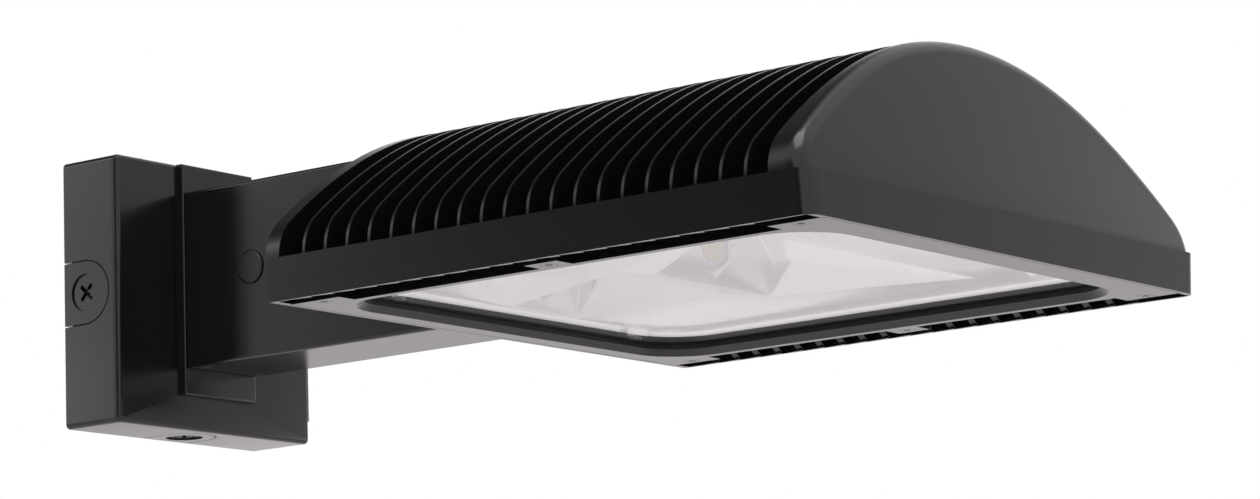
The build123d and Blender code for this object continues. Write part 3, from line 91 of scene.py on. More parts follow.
class Tree:
    """Writes one material's nodes.

    Every method returns the output socket that it made, so that calls nest.
    """

    def __init__(self, name: str) -> None:
        """Starts an empty material with its shader and its output.

        Args:
            name: the material's name.
        """
        self.material = bpy.data.materials.new(name)
        self.material.use_nodes = True
        self.nodes = self.material.node_tree.nodes
        self.links = self.material.node_tree.links
        self.nodes.clear()
        self.output = self.nodes.new("ShaderNodeOutputMaterial")
        self.shader = self.nodes.new("ShaderNodeBsdfPrincipled")
        self.links.new(self.shader.outputs[0], self.output.inputs["Surface"])
        self.place = self.nodes.new("ShaderNodeTexCoord").outputs["Object"]

    def set(self, **values: object) -> None:
        """Sets or links the shader's inputs by name, with _ for a space."""
        for key, value in values.items():
            socket = self.shader.inputs[key.replace("_", " ")]
            if isinstance(value, bpy.types.NodeSocket):
                self.links.new(value, socket)
            elif isinstance(value, tuple) and len(value) == 3:
                socket.default_value = (*value, 1.0)
            else:
                socket.default_value = value

    def stretched(self, scale: tuple[float, float, float]) -> bpy.types.NodeSocket:
        """Object coordinates multiplied by a scale for each axis."""
        node = self.nodes.new("ShaderNodeMapping")
        node.inputs["Scale"].default_value = scale
        self.links.new(self.place, node.inputs["Vector"])
        return node.outputs["Vector"]

    def noise(self, scale: float, detail: float = 2.0, roughness: float = 0.5,
              stretch: tuple[float, float, float] = (1.0, 1.0, 1.0)) -> bpy.types.NodeSocket:
        """Smooth noise in object space.

        Args:
            scale: repeats to the metre.
            detail: octaves.
            roughness: how much each finer octave adds.
            stretch: a factor for each axis, for a grain.

        Returns:
            The noise value, about 0.5 in the middle.
        """
        node = self.nodes.new("ShaderNodeTexNoise")
        node.inputs["Scale"].default_value = scale
        node.inputs["Detail"].default_value = detail
        node.inputs["Roughness"].default_value = roughness
        self.links.new(self.stretched(stretch), node.inputs["Vector"])
        return node.outputs["Fac"]

    def spread(self, value: bpy.types.NodeSocket, low: float, high: float) -> bpy.types.NodeSocket:
        """Maps a noise value onto low..high."""
        return mapped(self.nodes, self.links, value, (NOISE_LOW, NOISE_HIGH), (low, high), "LINEAR")

    def blend(self, value: bpy.types.NodeSocket, low: tuple[float, float, float],
              high: tuple[float, float, float]) -> bpy.types.NodeSocket:
        """Runs from one colour to another as a value goes through the noise's range."""
        node = self.nodes.new("ShaderNodeValToRGB")
        for element, position, colour in zip(node.color_ramp.elements, (NOISE_LOW, NOISE_HIGH), (low, high)):
            element.position = position
            element.color = (*colour, 1.0)
        self.links.new(value, node.inputs["Fac"])
        return node.outputs["Color"]

    def bump(self, value: bpy.types.NodeSocket, height: float,
             under: bpy.types.NodeSocket | None = None) -> bpy.types.NodeSocket:
        """Turns a value into a bumped normal.

        Args:
            value: the height pattern, 0 to 1.
            height: metres between its low and high places.
            under: a normal that this one is laid over.

        Returns:
            The normal.
        """
        node = self.nodes.new("ShaderNodeBump")
        node.inputs["Strength"].default_value = 1.0
        node.inputs["Distance"].default_value = height
        self.links.new(value, node.inputs["Height"])
        if under is not None:
            self.links.new(under, node.inputs["Normal"])
        return node.outputs["Normal"]

    def pool(self, near: float, far: float) -> bpy.types.NodeSocket:
        """A ball about the object's origin: 1 within the near distance and 0 beyond the far one; it masks the
        floor's painted pool of light.

        Args:
            near: metres up to which the value is 1.
            far: metres from which it is 0.

        Returns:
            The value.
        """
        length = self.nodes.new("ShaderNodeVectorMath")
        length.operation = "LENGTH"
        self.links.new(self.place, length.inputs[0])
        return mapped(self.nodes, self.links, length.outputs["Value"], (near, far), (1.0, 0.0), "SMOOTHSTEP")

    def mirrored_as(self, colour: bpy.types.NodeSocket) -> None:
        """Shows mirroring and refracted rays a glow of strength 1 in one colour."""
        glow = self.nodes.new("ShaderNodeEmission")
        self.links.new(colour, glow.inputs["Color"])
        path = self.nodes.new("ShaderNodeLightPath")
        under = self.shader.outputs[0]
        for kind in ("Is Glossy Ray", "Is Transmission Ray"):
            mix = self.nodes.new("ShaderNodeMixShader")
            self.links.new(path.outputs[kind], mix.inputs[0])
            self.links.new(under, mix.inputs[1])
            self.links.new(glow.outputs[0], mix.inputs[2])
            under = mix.outputs[0]
        self.links.new(under, self.output.inputs["Surface"])


def shade(rgb: tuple[float, float, float], factor: float) -> tuple[float, float, float]:
    """A colour made lighter or darker by a factor."""
    return tuple(min(1.0, channel * factor) for channel in rgb)


@dataclass(frozen=True)
class PowderCoat:
    """Semi-gloss powder coat on a casting or plate, with fine orange peel."""

    name: str
    colour: tuple[float, float, float]
    cloud_scale: float = 9.0
    cloud_shades: tuple[float, float] = (0.90, 1.12)
    fleck_scale: float = 1400.0
    roughness: tuple[float, float] = (0.16, 0.23)
    peel_scale: float = 700.0
    peel_depth: float = 0.000006

    def make(self) -> bpy.types.Material:
        """Builds the material."""
        tree = Tree(self.name)
        dark, pale = (shade(self.colour, factor) for factor in self.cloud_shades)
        tree.set(Base_Color=tree.blend(tree.noise(self.cloud_scale, 3.0), dark, pale),
                 Roughness=tree.spread(tree.noise(self.fleck_scale, 1.0), *self.roughness),
                 Specular_IOR_Level=0.5,
                 Normal=tree.bump(tree.noise(self.peel_scale, 2.0, 0.55), self.peel_depth))
        return tree.material


@dataclass(frozen=True)
class Rubber:
    """Matt silicone with a faint moulded skin."""

    name: str
    colour: tuple[float, float, float]
    skin_scale: float = 900.0
    skin_shades: tuple[float, float] = (0.85, 1.2)
    skin_depth: float = 0.000012
    roughness: float = 0.62

    def make(self) -> bpy.types.Material:
        """Builds the material."""
        tree = Tree(self.name)
        skin = tree.noise(self.skin_scale, 2.0)
        dark, pale = (shade(self.colour, factor) for factor in self.skin_shades)
        tree.set(Base_Color=tree.blend(skin, dark, pale), Roughness=self.roughness,
                 Normal=tree.bump(skin, self.skin_depth))
        return tree.material


@dataclass(frozen=True)
class Metal:
    """Bare or plated metal with a grain along one axis."""

    name: str
    colour: tuple[float, float, float]
    roughness: float
    grain: tuple[float, float, float] = (1.0, 1.0, 1.0)
    grain_depth: float = 0.000003
    wave_depth: float = 0.0
    grain_scale: float = 420.0
    grain_gloss: tuple[float, float] = (0.8, 1.25)
    cloud_scale: float = 25.0
    cloud_shades: tuple[float, float] = (0.94, 1.03)
    wave_scale: float = 22.0

    def make(self) -> bpy.types.Material:
        """Builds the material."""
        tree = Tree(self.name)
        lines = tree.noise(self.grain_scale, 3.0, 0.6, self.grain)
        dark, pale = (shade(self.colour, factor) for factor in self.cloud_shades)
        smooth, rough = (self.roughness * factor for factor in self.grain_gloss)
        normal = tree.bump(lines, self.grain_depth)
        if self.wave_depth:
            normal = tree.bump(tree.noise(self.wave_scale, 1.0), self.wave_depth, normal)
        tree.set(Base_Color=tree.blend(tree.noise(self.cloud_scale, 2.0), dark, pale), Metallic=1.0,
                 Roughness=tree.spread(lines, smooth, rough), Normal=normal)
        return tree.material


@dataclass(frozen=True)
class Moulding:
    """Moulded plastic or resin with a fine spark texture."""

    name: str
    colour: tuple[float, float, float]
    roughness: float
    gloss_coat: float = 0.0
    spark_scale: float = 1600.0
    spark_shades: tuple[float, float] = (0.95, 1.04)
    spark_depth: float = 0.000008

    def make(self) -> bpy.types.Material:
        """Builds the material."""
        tree = Tree(self.name)
        spark = tree.noise(self.spark_scale, 2.0)
        dark, pale = (shade(self.colour, factor) for factor in self.spark_shades)
        tree.set(Base_Color=tree.blend(spark, dark, pale), Roughness=self.roughness,
                 Normal=tree.bump(spark, self.spark_depth), Coat_Weight=self.gloss_coat)
        return tree.material


@dataclass(frozen=True)
class ClearGlass:
    """Clear tempered glass."""

    name: str
    colour: tuple[float, float, float] = (0.97, 0.985, 0.98)
    film_scale: float = 12.0
    roughness: tuple[float, float] = (0.0, 0.02)

    def make(self) -> bpy.types.Material:
        """Builds the material."""
        tree = Tree(self.name)
        tree.set(Base_Color=self.colour, IOR=1.5, Transmission_Weight=1.0, Specular_IOR_Level=0.12,
                 Roughness=tree.spread(tree.noise(self.film_scale, 2.0), *self.roughness))
        return tree.material


class Finish(Enum):
    """Every finish on the light, one for each slot of the record."""

    housing_paint = PowderCoat("housing_paint", (0.0085, 0.0077, 0.0083))
    seal_rubber = Rubber("seal_rubber", (0.012, 0.012, 0.012))
    steel = Metal("steel", (0.56, 0.56, 0.57), 0.32)
    lens_glass = ClearGlass("lens_glass")
    reflector = Metal("reflector", (0.69, 0.68, 0.695), 0.14, grain=(1.0, 0.04, 1.0),
                      grain_depth=0.000002, wave_depth=0.0003)
    led_phosphor = Moulding("led_phosphor", (0.80, 0.62, 0.20), 0.25, gloss_coat=0.6)
    led_board = Moulding("led_board", (0.80, 0.80, 0.79), 0.35)
    led_holder = Moulding("led_holder", (0.74, 0.74, 0.73), 0.45)
    driver_can = Metal("driver_can", (0.62, 0.62, 0.62), 0.38, grain=(1.0, 0.05, 1.0))
    terminal_plastic = Moulding("terminal_plastic", (0.55, 0.53, 0.48), 0.5)
    plug_plastic = Moulding("plug_plastic", (0.018, 0.0165, 0.0175), 0.38)


class Shelf:
    """Keeps each finish's material so that it is made once."""

    def __init__(self) -> None:
        """Starts with no materials."""
        self.made: dict[Finish, bpy.types.Material] = {}

    def get(self, finish: Finish) -> bpy.types.Material:
        """The material of a finish."""
        if finish not in self.made:
            self.made[finish] = finish.value.make()
        return self.made[finish]

    def dress(self, piece: bpy.types.Object, finish: Finish) -> None:
        """Gives a piece one finish all over."""
        piece.data.materials.clear()
        piece.data.materials.append(self.get(finish))


SHELF = Shelf()


# ---- meshes -------------------------------------------------------------------------------

class Shell:
    """Gathers points and faces of one piece and makes its object.

    Points nearer to each other than same_place, in metres, become one.
    """

    same_place: float = 0.00001

    def __init__(self) -> None:
        """Starts empty."""
        self.points: list[np.ndarray] = []
        self.faces: list[list[int]] = []
        self.count = 0

    def add(self, points: np.ndarray, faces: list[list[int]]) -> None:
        """Adds points in millimetres, and faces that number them from 0."""
        self.points.append(np.asarray(points, float).reshape(-1, 3))
        self.faces += [[self.count + corner for corner in face] for face in faces]
        self.count += len(self.points[-1])

    def loft(self, rings: np.ndarray) -> None:
        """Joins closed rings one to the next: ring i, point j meets ring i + 1, point j + 1.

        Args:
            rings: places with the shape rings x points x 3.
        """
        rows, turns = rings.shape[:2]
        start = (np.arange(rows - 1)[:, None] * turns + np.arange(turns)[None, :]).ravel()
        ahead = (np.arange(rows - 1)[:, None] * turns + (np.arange(turns)[None, :] + 1) % turns).ravel()
        self.add(rings, np.stack([start, ahead, ahead + turns, start + turns], 1).tolist())

    def make(self, name: str, towards: tuple[float, float, float] | None = None) -> bpy.types.Object:
        """Merges the doubles, turns the faces and makes the object.

        Args:
            name: the piece's name.
            towards: for an open sheet, the way that most of its faces look; a closed form has none.

        Returns:
            The object, at the origin, with its place in its mesh.
        """
        mesh = bpy.data.meshes.new(name)
        mesh.from_pydata((np.concatenate(self.points) * MM).tolist(), [], self.faces)
        form = bmesh.new()
        form.from_mesh(mesh)
        bmesh.ops.remove_doubles(form, verts=form.verts, dist=self.same_place)
        bmesh.ops.recalc_face_normals(form, faces=form.faces)
        if towards is not None:
            look = sum((face.normal * face.calc_area() for face in form.faces), Vector())
            if look.dot(Vector(towards)) < 0:
                bmesh.ops.reverse_faces(form, faces=form.faces)
        form.to_mesh(mesh)
        form.free()
        piece = bpy.data.objects.new(name, mesh)
        bpy.context.scene.collection.objects.link(piece)
        return piece


def eased(piece: bpy.types.Object, width: float, segments: int = 2, angle: float = 30.0) -> None:
    """Rounds the edges that are sharper than an angle, and shades the rest smooth.

    Args:
        piece: the piece.
        width: the rounding's width in metres.
        segments: faces across it.
        angle: degrees between two faces from which their edge counts as sharp.
    """
    piece.data.shade_smooth()
    piece.data.set_sharp_from_angle(angle=math.radians(angle))
    bevel = piece.modifiers.new("eased_edges", "BEVEL")
    bevel.width = width
    bevel.segments = segments
    bevel.limit_method = "ANGLE"
    bevel.angle_limit = math.radians(angle)
    bevel.harden_normals = True


def settle(piece: bpy.types.Object, body: Body, finish: Finish, *nodes: str) -> None:
    """Dresses a piece, rides it on its body and lets it stand for CAD nodes."""
    SHELF.dress(piece, finish)
    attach(piece, body.value)
    if nodes:
        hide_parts(*nodes)
    LOG.info("piece %s on %s: %s", piece.name, body.value, finish.name)


def rounded_outline(low: tuple[float, float], high: tuple[float, float], radius: float,
                    steps: int) -> np.ndarray:
    """A rectangle's outline with quarter-circle corners, anticlockwise from above.

    Each corner's centre lies the radius inside both of its sides, and its points stand at equal
    angles on the circle round it.

    Args:
        low: least x and y.
        high: greatest x and y.
        radius: the corners' radius.
        steps: arcs in each corner.

    Returns:
        Places with the shape points x 2, steps + 1 for each corner, from the corner of greatest
        x and y on.
    """
    angle = np.linspace(0.0, math.pi / 2, steps + 1)
    turn = np.arange(4)[:, None] * math.pi / 2 + angle[None, :]
    middle_x = np.array([high[0], low[0], low[0], high[0]]) + np.array([-1, 1, 1, -1]) * radius
    middle_y = np.array([high[1], high[1], low[1], low[1]]) + np.array([-1, -1, 1, 1]) * radius
    return np.stack([middle_x[:, None] + radius * np.cos(turn),
                     middle_y[:, None] + radius * np.sin(turn)], 2).reshape(-1, 2)


# ---- castings -----------------------------------------------------------------------------

@dataclass(frozen=True)
class Casting:
    """One painted casting or plate, with the width in metres to which its paint eases its edges."""

    node: str
    body: Body
    width: float


@dataclass
class Castings:
    """The castings and plates, each a merged copy of its CAD node with eased edges."""

    rows: tuple[Casting, ...] = (
        Casting("wall_box", Body.BRACKET, 0.0006),
        Casting("front_cover", Body.LUMINAIRE, 0.0005),
        Casting("arm_casting", Body.LUMINAIRE, 0.0005),
        Casting("arm_hatch_lid", Body.LUMINAIRE, 0.0004),
        Casting("head_housing", Body.LUMINAIRE, 0.0003),
    )
    same_place: float = 0.000002
    flat_angle: float = math.radians(0.4)

    def copy(self, node: str) -> bpy.types.Object:
        """A CAD node's mesh with its doubles merged and its flat faces whole."""
        mesh = frame["nodes"][node].data.copy()
        form = bmesh.new()
        form.from_mesh(mesh)
        bmesh.ops.remove_doubles(form, verts=form.verts, dist=self.same_place)
        bmesh.ops.dissolve_limit(form, angle_limit=self.flat_angle, verts=form.verts, edges=form.edges)
        form.to_mesh(mesh)
        form.free()
        if "custom_normal" in mesh.attributes:
            mesh.attributes.remove(mesh.attributes["custom_normal"])
        piece = bpy.data.objects.new(node + "_eased", mesh)
        bpy.context.scene.collection.objects.link(piece)
        return piece

    def build(self) -> None:
        """Makes every copy."""
        for row in self.rows:
            piece = self.copy(row.node)
            eased(piece, row.width)
            settle(piece, row.body, Finish.housing_paint, row.node)


@dataclass
class LensFrame:
    """The ring that holds the glass: a narrow flat rim, and a lip that slopes in to the glass.

    Sizes are in millimetres: the splay across and along, the ring's overlap of the glass, the
    radius of its window's corners, and how near to that outline a point of the edge lies.
    """

    splay: tuple[float, float] = (4.4, 2.8)
    overlap: float = 5.4
    corner: float = 28.0
    nearness: float = 0.4
    edge: float = 0.3

    def build(self) -> None:
        """Copies the CAD ring and moves the lower edge of its window outwards by the splay.

        A point on that edge moves away from the window's nearest corner centre, or straight out
        beside a straight side, so the wall between it and the upper edge becomes a slope.
        """
        piece = Castings().copy("lens_frame")
        mesh = piece.data
        places = np.zeros(len(mesh.vertices) * 3)
        mesh.vertices.foreach_get("co", places)
        places = places.reshape(-1, 3)
        glass_low, glass_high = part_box("lens_glass")
        overlap, radius, nearness = self.overlap * MM, self.corner * MM, self.nearness * MM
        low = np.array([glass_low.x + overlap, glass_low.y + overlap]) + radius
        high = np.array([glass_high.x - overlap, glass_high.y - overlap]) - radius
        out = places[:, :2] - np.clip(places[:, :2], low, high)
        reach = np.linalg.norm(out, axis=1)
        floor = places[:, 2].min()
        on_edge = (np.abs(reach - radius) < nearness) & (places[:, 2] < floor + nearness)
        LOG.info("lens frame: %d points of the window's lower edge", int(on_edge.sum()))
        places[on_edge, :2] += out[on_edge] / reach[on_edge, None] * np.array(self.splay) * MM
        mesh.vertices.foreach_set("co", places.ravel())
        mesh.update()
        eased(piece, self.edge * MM)
        settle(piece, Body.LUMINAIRE, Finish.housing_paint, "lens_frame")


# ---- reflector ----------------------------------------------------------------------------

@dataclass(frozen=True)
class Pocket:
    """One pocket's sizes in millimetres: halves count from the middle, depths from its foot.

    The rear wall rises from the foot to the eaves and on to the roof. A gusset stands beside it, and
    the roof slopes down to the mouth.
    """

    rear: float
    foot_half: float
    eaves: float
    gusset: float
    mouth_half: float
    mouth_depth: float
    roof_half: float = 24.0
    roof_height: float = 38.0
    roof_depth: float = 32.0


@dataclass
class Reflector:
    """The formed bright sheet over the glass, with a faceted pocket for each light engine.

    Sizes are in millimetres. Heights count from the CAD sheet's lower face, and a pocket's depths
    count forward from the foot of its rear wall.
    """

    rim_in: float = 3.6
    rim_gap: float = 0.15
    radius: float = 29.8
    corner_steps: int = 10
    border: float = 6.0
    border_rise: float = 4.6
    dish: float = 6.0
    foot_rise: float = 0.4
    flat_half: float = 114.0
    flat_rear: float = -270.0
    flat_front: float = -488.0
    lean: float = math.tan(math.radians(10.0))
    rear_pocket: Pocket = Pocket(rear=-278.0, foot_half=28.0, eaves=9.0, gusset=7.0,
                                 mouth_half=46.0, mouth_depth=84.0)
    front_pocket: Pocket = Pocket(rear=-390.0, foot_half=50.0, eaves=18.0, gusset=15.0,
                                  mouth_half=112.0, mouth_depth=88.0)
    engine_height: float = 22.0
    window_steps: int = 48
    window_half: float = 22.5
    window_top: float = 13.2
    window_slant: float = 12.8
    window_power: float = 10.0
    collar_r: float = 12.2
    collar_in: float = 2.5
    post_across: float = 100.0
    post_rows: tuple[float, float] = (-262.8, -526.7)
    seat_mouth: float = 10.5
    seat_foot: float = 6.8
    seat_hole: float = 3.4
    seat_steps: int = 32
    gauge: float = 0.6
    fold: float = 0.9
    fold_faces: int = 3
    fold_angle: float = 12.0

    def level(self) -> float:
        """The height of the CAD sheet's lower face."""
        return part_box("reflector")[0].z / MM

    def tray(self, shell: Shell) -> None:
        """The sloped border that stands on the glass, and the shallow dish up to the flat middle."""
        glass_low, glass_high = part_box("lens_glass")
        low = (glass_low.x / MM + self.rim_in, glass_low.y / MM + self.rim_in)
        high = (glass_high.x / MM - self.rim_in, glass_high.y / MM - self.rim_in)
        bend_low = (low[0] + self.border, low[1] + self.border)
        bend_high = (high[0] - self.border, high[1] - self.border)
        rim = rounded_outline(low, high, self.radius, self.corner_steps)
        bend = rounded_outline(bend_low, bend_high, self.radius - self.border, self.corner_steps)
        edge = np.column_stack([rim, np.full(len(rim), glass_high.z / MM + self.rim_gap)])
        ring = np.column_stack([bend, np.full(len(bend), self.level() + self.border_rise)])
        shell.loft(np.stack([edge, ring]))
        wide, rear, front = self.flat_half, self.flat_rear, self.flat_front
        corners = np.array([[wide, rear], [-wide, rear], [-wide, front], [wide, front]])
        inner = np.column_stack([corners, np.full(4, self.level() + self.dish)])
        span = self.corner_steps + 1
        count = len(ring)
        faces = []
        for corner in range(4):
            start = corner * span
            faces += [[start + step, start + step + 1, count + corner] for step in range(self.corner_steps)]
            faces.append([start + span - 1, (start + span) % count, count + (corner + 1) % 4, count + corner])
        shell.add(np.concatenate([ring, inner]), faces)

    def middle(self, shell: Shell) -> None:
        """The faces between the dish, the feet of the rear walls and the mouths, each a polygon."""
        low_z, high_z = self.level() + self.foot_rise, self.level() + self.dish
        side = [(self.flat_half, self.flat_rear, high_z)]
        for pocket in (self.rear_pocket, self.front_pocket):
            side.append((pocket.foot_half, pocket.rear - self.foot_rise * self.lean, low_z))
            side.append((pocket.mouth_half, pocket.rear - pocket.mouth_depth, high_z))
        side.append((self.flat_half, self.flat_front, high_z))
        for sign in (1, -1):
            shell.add(np.array(side) * [sign, 1, 1], [[0, 1, 2], [0, 2, 4], [2, 3, 4], [0, 4, 5]])
        for near, far in zip(side[0::2], side[1::2]):
            band = np.array([near, near, far, far]) * np.array([[-1, 1, 1], [1, 1, 1], [1, 1, 1], [-1, 1, 1]])
            shell.add(band, [[0, 1, 2, 3]])

    def seats(self, shell: Shell) -> None:
        """Round seats that stand down from the sheet under the posts: a cone, and a flat ring."""
        turn = np.linspace(0.0, 2 * math.pi, self.seat_steps, endpoint=False)
        circle = np.stack([np.cos(turn), np.sin(turn), np.zeros_like(turn)], 1)
        steps = ((self.seat_mouth, self.dish), (self.seat_foot, 0.0), (self.seat_hole, 0.0))
        for y in self.post_rows:
            for x in (self.post_across, -self.post_across):
                rings = [np.array([x, y, self.level() + rise]) + circle * radius for radius, rise in steps]
                shell.loft(np.stack(rings))

    def window(self) -> np.ndarray:
        """The outline of the collar's mouth on a rear wall, about the light engine's centre.

        It is a triangle that points down, with its top corners cut and every corner rounded. In
        each direction, with d the distances of the five sides and n the power, its distance is
        one over the n-th root of the sum of 1 / d to the n.
        """
        angle = np.arange(self.window_steps) * 2 * math.pi / self.window_steps
        way = np.stack([np.cos(angle), np.sin(angle)], 1)
        slant = math.sqrt(0.5)
        sides = np.array([[slant, -slant], [-slant, -slant], [0.0, 1.0], [1.0, 0.0], [-1.0, 0.0]])
        reach = np.array([self.window_slant, self.window_slant, self.window_top,
                          self.window_half, self.window_half])
        near = np.maximum(way @ sides.T, 0.0) / reach
        return way / (near ** self.window_power).sum(1)[:, None] ** (1.0 / self.window_power)

    def on_wall(self, rear: float, flat: np.ndarray, inwards: float = 0.0) -> np.ndarray:
        """Lays points of a leaning rear wall in space.

        Args:
            rear: the wall's foot.
            flat: places with the shape points x 2, across and up the wall from the engine's centre.
            inwards: distance behind the wall.

        Returns:
            Places with the shape points x 3.
        """
        slope = math.atan(self.lean)
        height = self.engine_height + flat[:, 1] * math.cos(slope)
        depth = self.engine_height * self.lean + flat[:, 1] * math.sin(slope)
        return np.column_stack([flat[:, 0], rear - depth + inwards * math.cos(slope),
                                self.level() + height + inwards * math.sin(slope)])

    def placed(self, rear: float, corners: list[tuple[float, float, float]], sign: int) -> np.ndarray:
        """Corners given as across, depth and height, in space on one side of the middle."""
        array = np.array(corners)
        return np.column_stack([sign * array[:, 0], rear - array[:, 1], self.level() + array[:, 2]])

    def rear_wall(self, shell: Shell, rear: float, edge: np.ndarray) -> None:
        """A leaning rear wall with the mouth of the collar in it, and the collar behind it.

        Each side of the wall's outline makes one polygon with the stretch of the mouth's outline
        that lies in the same directions from the engine's centre.

        Args:
            shell: what gathers the points and faces.
            rear: the wall's foot.
            edge: the right edge's corners from the foot up, each as across, depth and height.
        """
        mouth = self.window()
        up = (edge[:, 2] - self.engine_height) / math.cos(math.atan(self.lean))
        flat = np.column_stack([edge[:, 0], up])
        corners = np.concatenate([flat, (flat * [-1, 1])[::-1]])
        turn = np.arctan2(corners[:, 1], corners[:, 0]) % (2 * math.pi)
        order = np.argsort(turn)
        corners, turn = corners[order], turn[order]
        nearest = np.round(turn * self.window_steps / (2 * math.pi)).astype(int)
        faces = []
        for index in range(len(corners)):
            after = (index + 1) % len(corners)
            last = nearest[after] + (self.window_steps if after == 0 else 0)
            arc = [step % self.window_steps for step in range(last, nearest[index] - 1, -1)]
            faces.append([self.window_steps + index, self.window_steps + after] + arc)
        shell.add(self.on_wall(rear, np.concatenate([mouth, corners])), faces)
        circle = mouth / np.linalg.norm(mouth, axis=1)[:, None] * self.collar_r
        shell.loft(np.stack([self.on_wall(rear, mouth), self.on_wall(rear, circle, self.collar_in)]))

    def pocket(self, shell: Shell, pocket: Pocket) -> None:
        """One pocket: the facets of its two halves, its roof, and its rear wall with the collar.

        Every facet's corners are given as across, depth and height. The right half's facets are
        mirrored for the left.
        """
        foot = (pocket.foot_half, self.foot_rise * self.lean, self.foot_rise)
        top = (pocket.foot_half, pocket.eaves * self.lean, pocket.eaves)
        gusset = (pocket.foot_half, pocket.gusset, pocket.eaves)
        mouth = (pocket.mouth_half, pocket.mouth_depth, self.dish)
        roof_rear = (pocket.roof_half, pocket.roof_height * self.lean, pocket.roof_height)
        roof_front = (pocket.roof_half, pocket.roof_depth, pocket.roof_height)
        for facet in ([foot, top, gusset], [foot, gusset, mouth], [top, roof_rear, roof_front, gusset],
                      [gusset, roof_front, mouth]):
            for sign in (1, -1):
                shell.add(self.placed(pocket.rear, facet, sign), [list(range(len(facet)))])
        for near, far in ((roof_rear, roof_front), (roof_front, mouth)):
            right = self.placed(pocket.rear, [near, far], 1)
            left = self.placed(pocket.rear, [far, near], -1)
            shell.add(np.concatenate([right, left]), [[0, 1, 2, 3]])
        self.rear_wall(shell, pocket.rear, np.array([foot, top, roof_rear]))

    def build(self) -> None:
        """Makes the sheet, folds its creases round and gives it its gauge."""
        shell = Shell()
        self.tray(shell)
        self.middle(shell)
        self.seats(shell)
        for pocket in (self.rear_pocket, self.front_pocket):
            self.pocket(shell, pocket)
        piece = shell.make("reflector_sheet", (0.0, 0.0, -1.0))
        eased(piece, self.fold * MM, self.fold_faces, self.fold_angle)
        gauge = piece.modifiers.new("gauge", "SOLIDIFY")
        gauge.thickness = self.gauge * MM
        gauge.offset = -1.0
        settle(piece, Body.LUMINAIRE, Finish.reflector, "reflector")


# ---- band ribs ----------------------------------------------------------------------------

@dataclass
class BandRibs:
    """The short wedge ribs that tie each fin's foot to the band, in millimetres.

    Seen from below they part the slot between the lens frame and the band like rungs.
    """

    first_y: float = -264.5
    pitch: float = 14.4
    count: int = 20
    width: float = 4.2
    band_x: float = 173.7
    band_lean: float = 0.6
    inner_x: float = 166.8
    low_z: float = -44.1
    rise: float = 4.6
    high_z: float = -37.0
    edge: float = 0.3

    def build(self) -> None:
        """Makes every rib: a section of four corners across, carried over the rib's width."""
        section = np.array([[self.band_x, self.low_z], [self.inner_x, self.low_z + self.rise],
                            [self.inner_x, self.high_z], [self.band_x + self.band_lean, self.high_z]])
        shell = Shell()
        middles = self.first_y - self.pitch * np.arange(self.count)
        for sign in (1, -1):
            for middle in middles:
                ends = middle + np.array([-0.5, 0.5]) * self.width
                rings = np.stack([np.column_stack([sign * section[:, 0], np.full(4, end), section[:, 1]])
                                  for end in ends])
                shell.loft(rings)
                shell.add(rings, [[0, 1, 2, 3], [4, 5, 6, 7]])
        piece = shell.make("band_ribs")
        eased(piece, self.edge * MM)
        settle(piece, Body.LUMINAIRE, Finish.housing_paint)


# ---- carried-over nodes -------------------------------------------------------------------

@dataclass
class CarriedNodes:
    """The CAD nodes that keep their own shape and get a finish."""

    def dress(self) -> None:
        """Gives every CAD node the finish of its slot."""
        slots = {row["node"]: row["material_slot"] for row in frame["record"]["subparts"]}
        for name, node in frame["nodes"].items():
            SHELF.dress(node, Finish[slots[name]])
            LOG.info("node %s: %s", name, slots[name])


# ---- camera, lamps, world and floor -------------------------------------------------------

@dataclass(frozen=True)
class DarkSide:
    """A side of the room that is dark in reflections.

    Its level holds where a ray's cosine to the side is past full, and is gone below edge.
    """

    side: tuple[float, float, float]
    full: float
    edge: float
    level: float


@dataclass(frozen=True)
class SoftLamp:
    """One softbox: its place, its width and height in metres, and its power."""

    name: str
    place: tuple[float, float, float]
    width: float
    height: float
    power: float


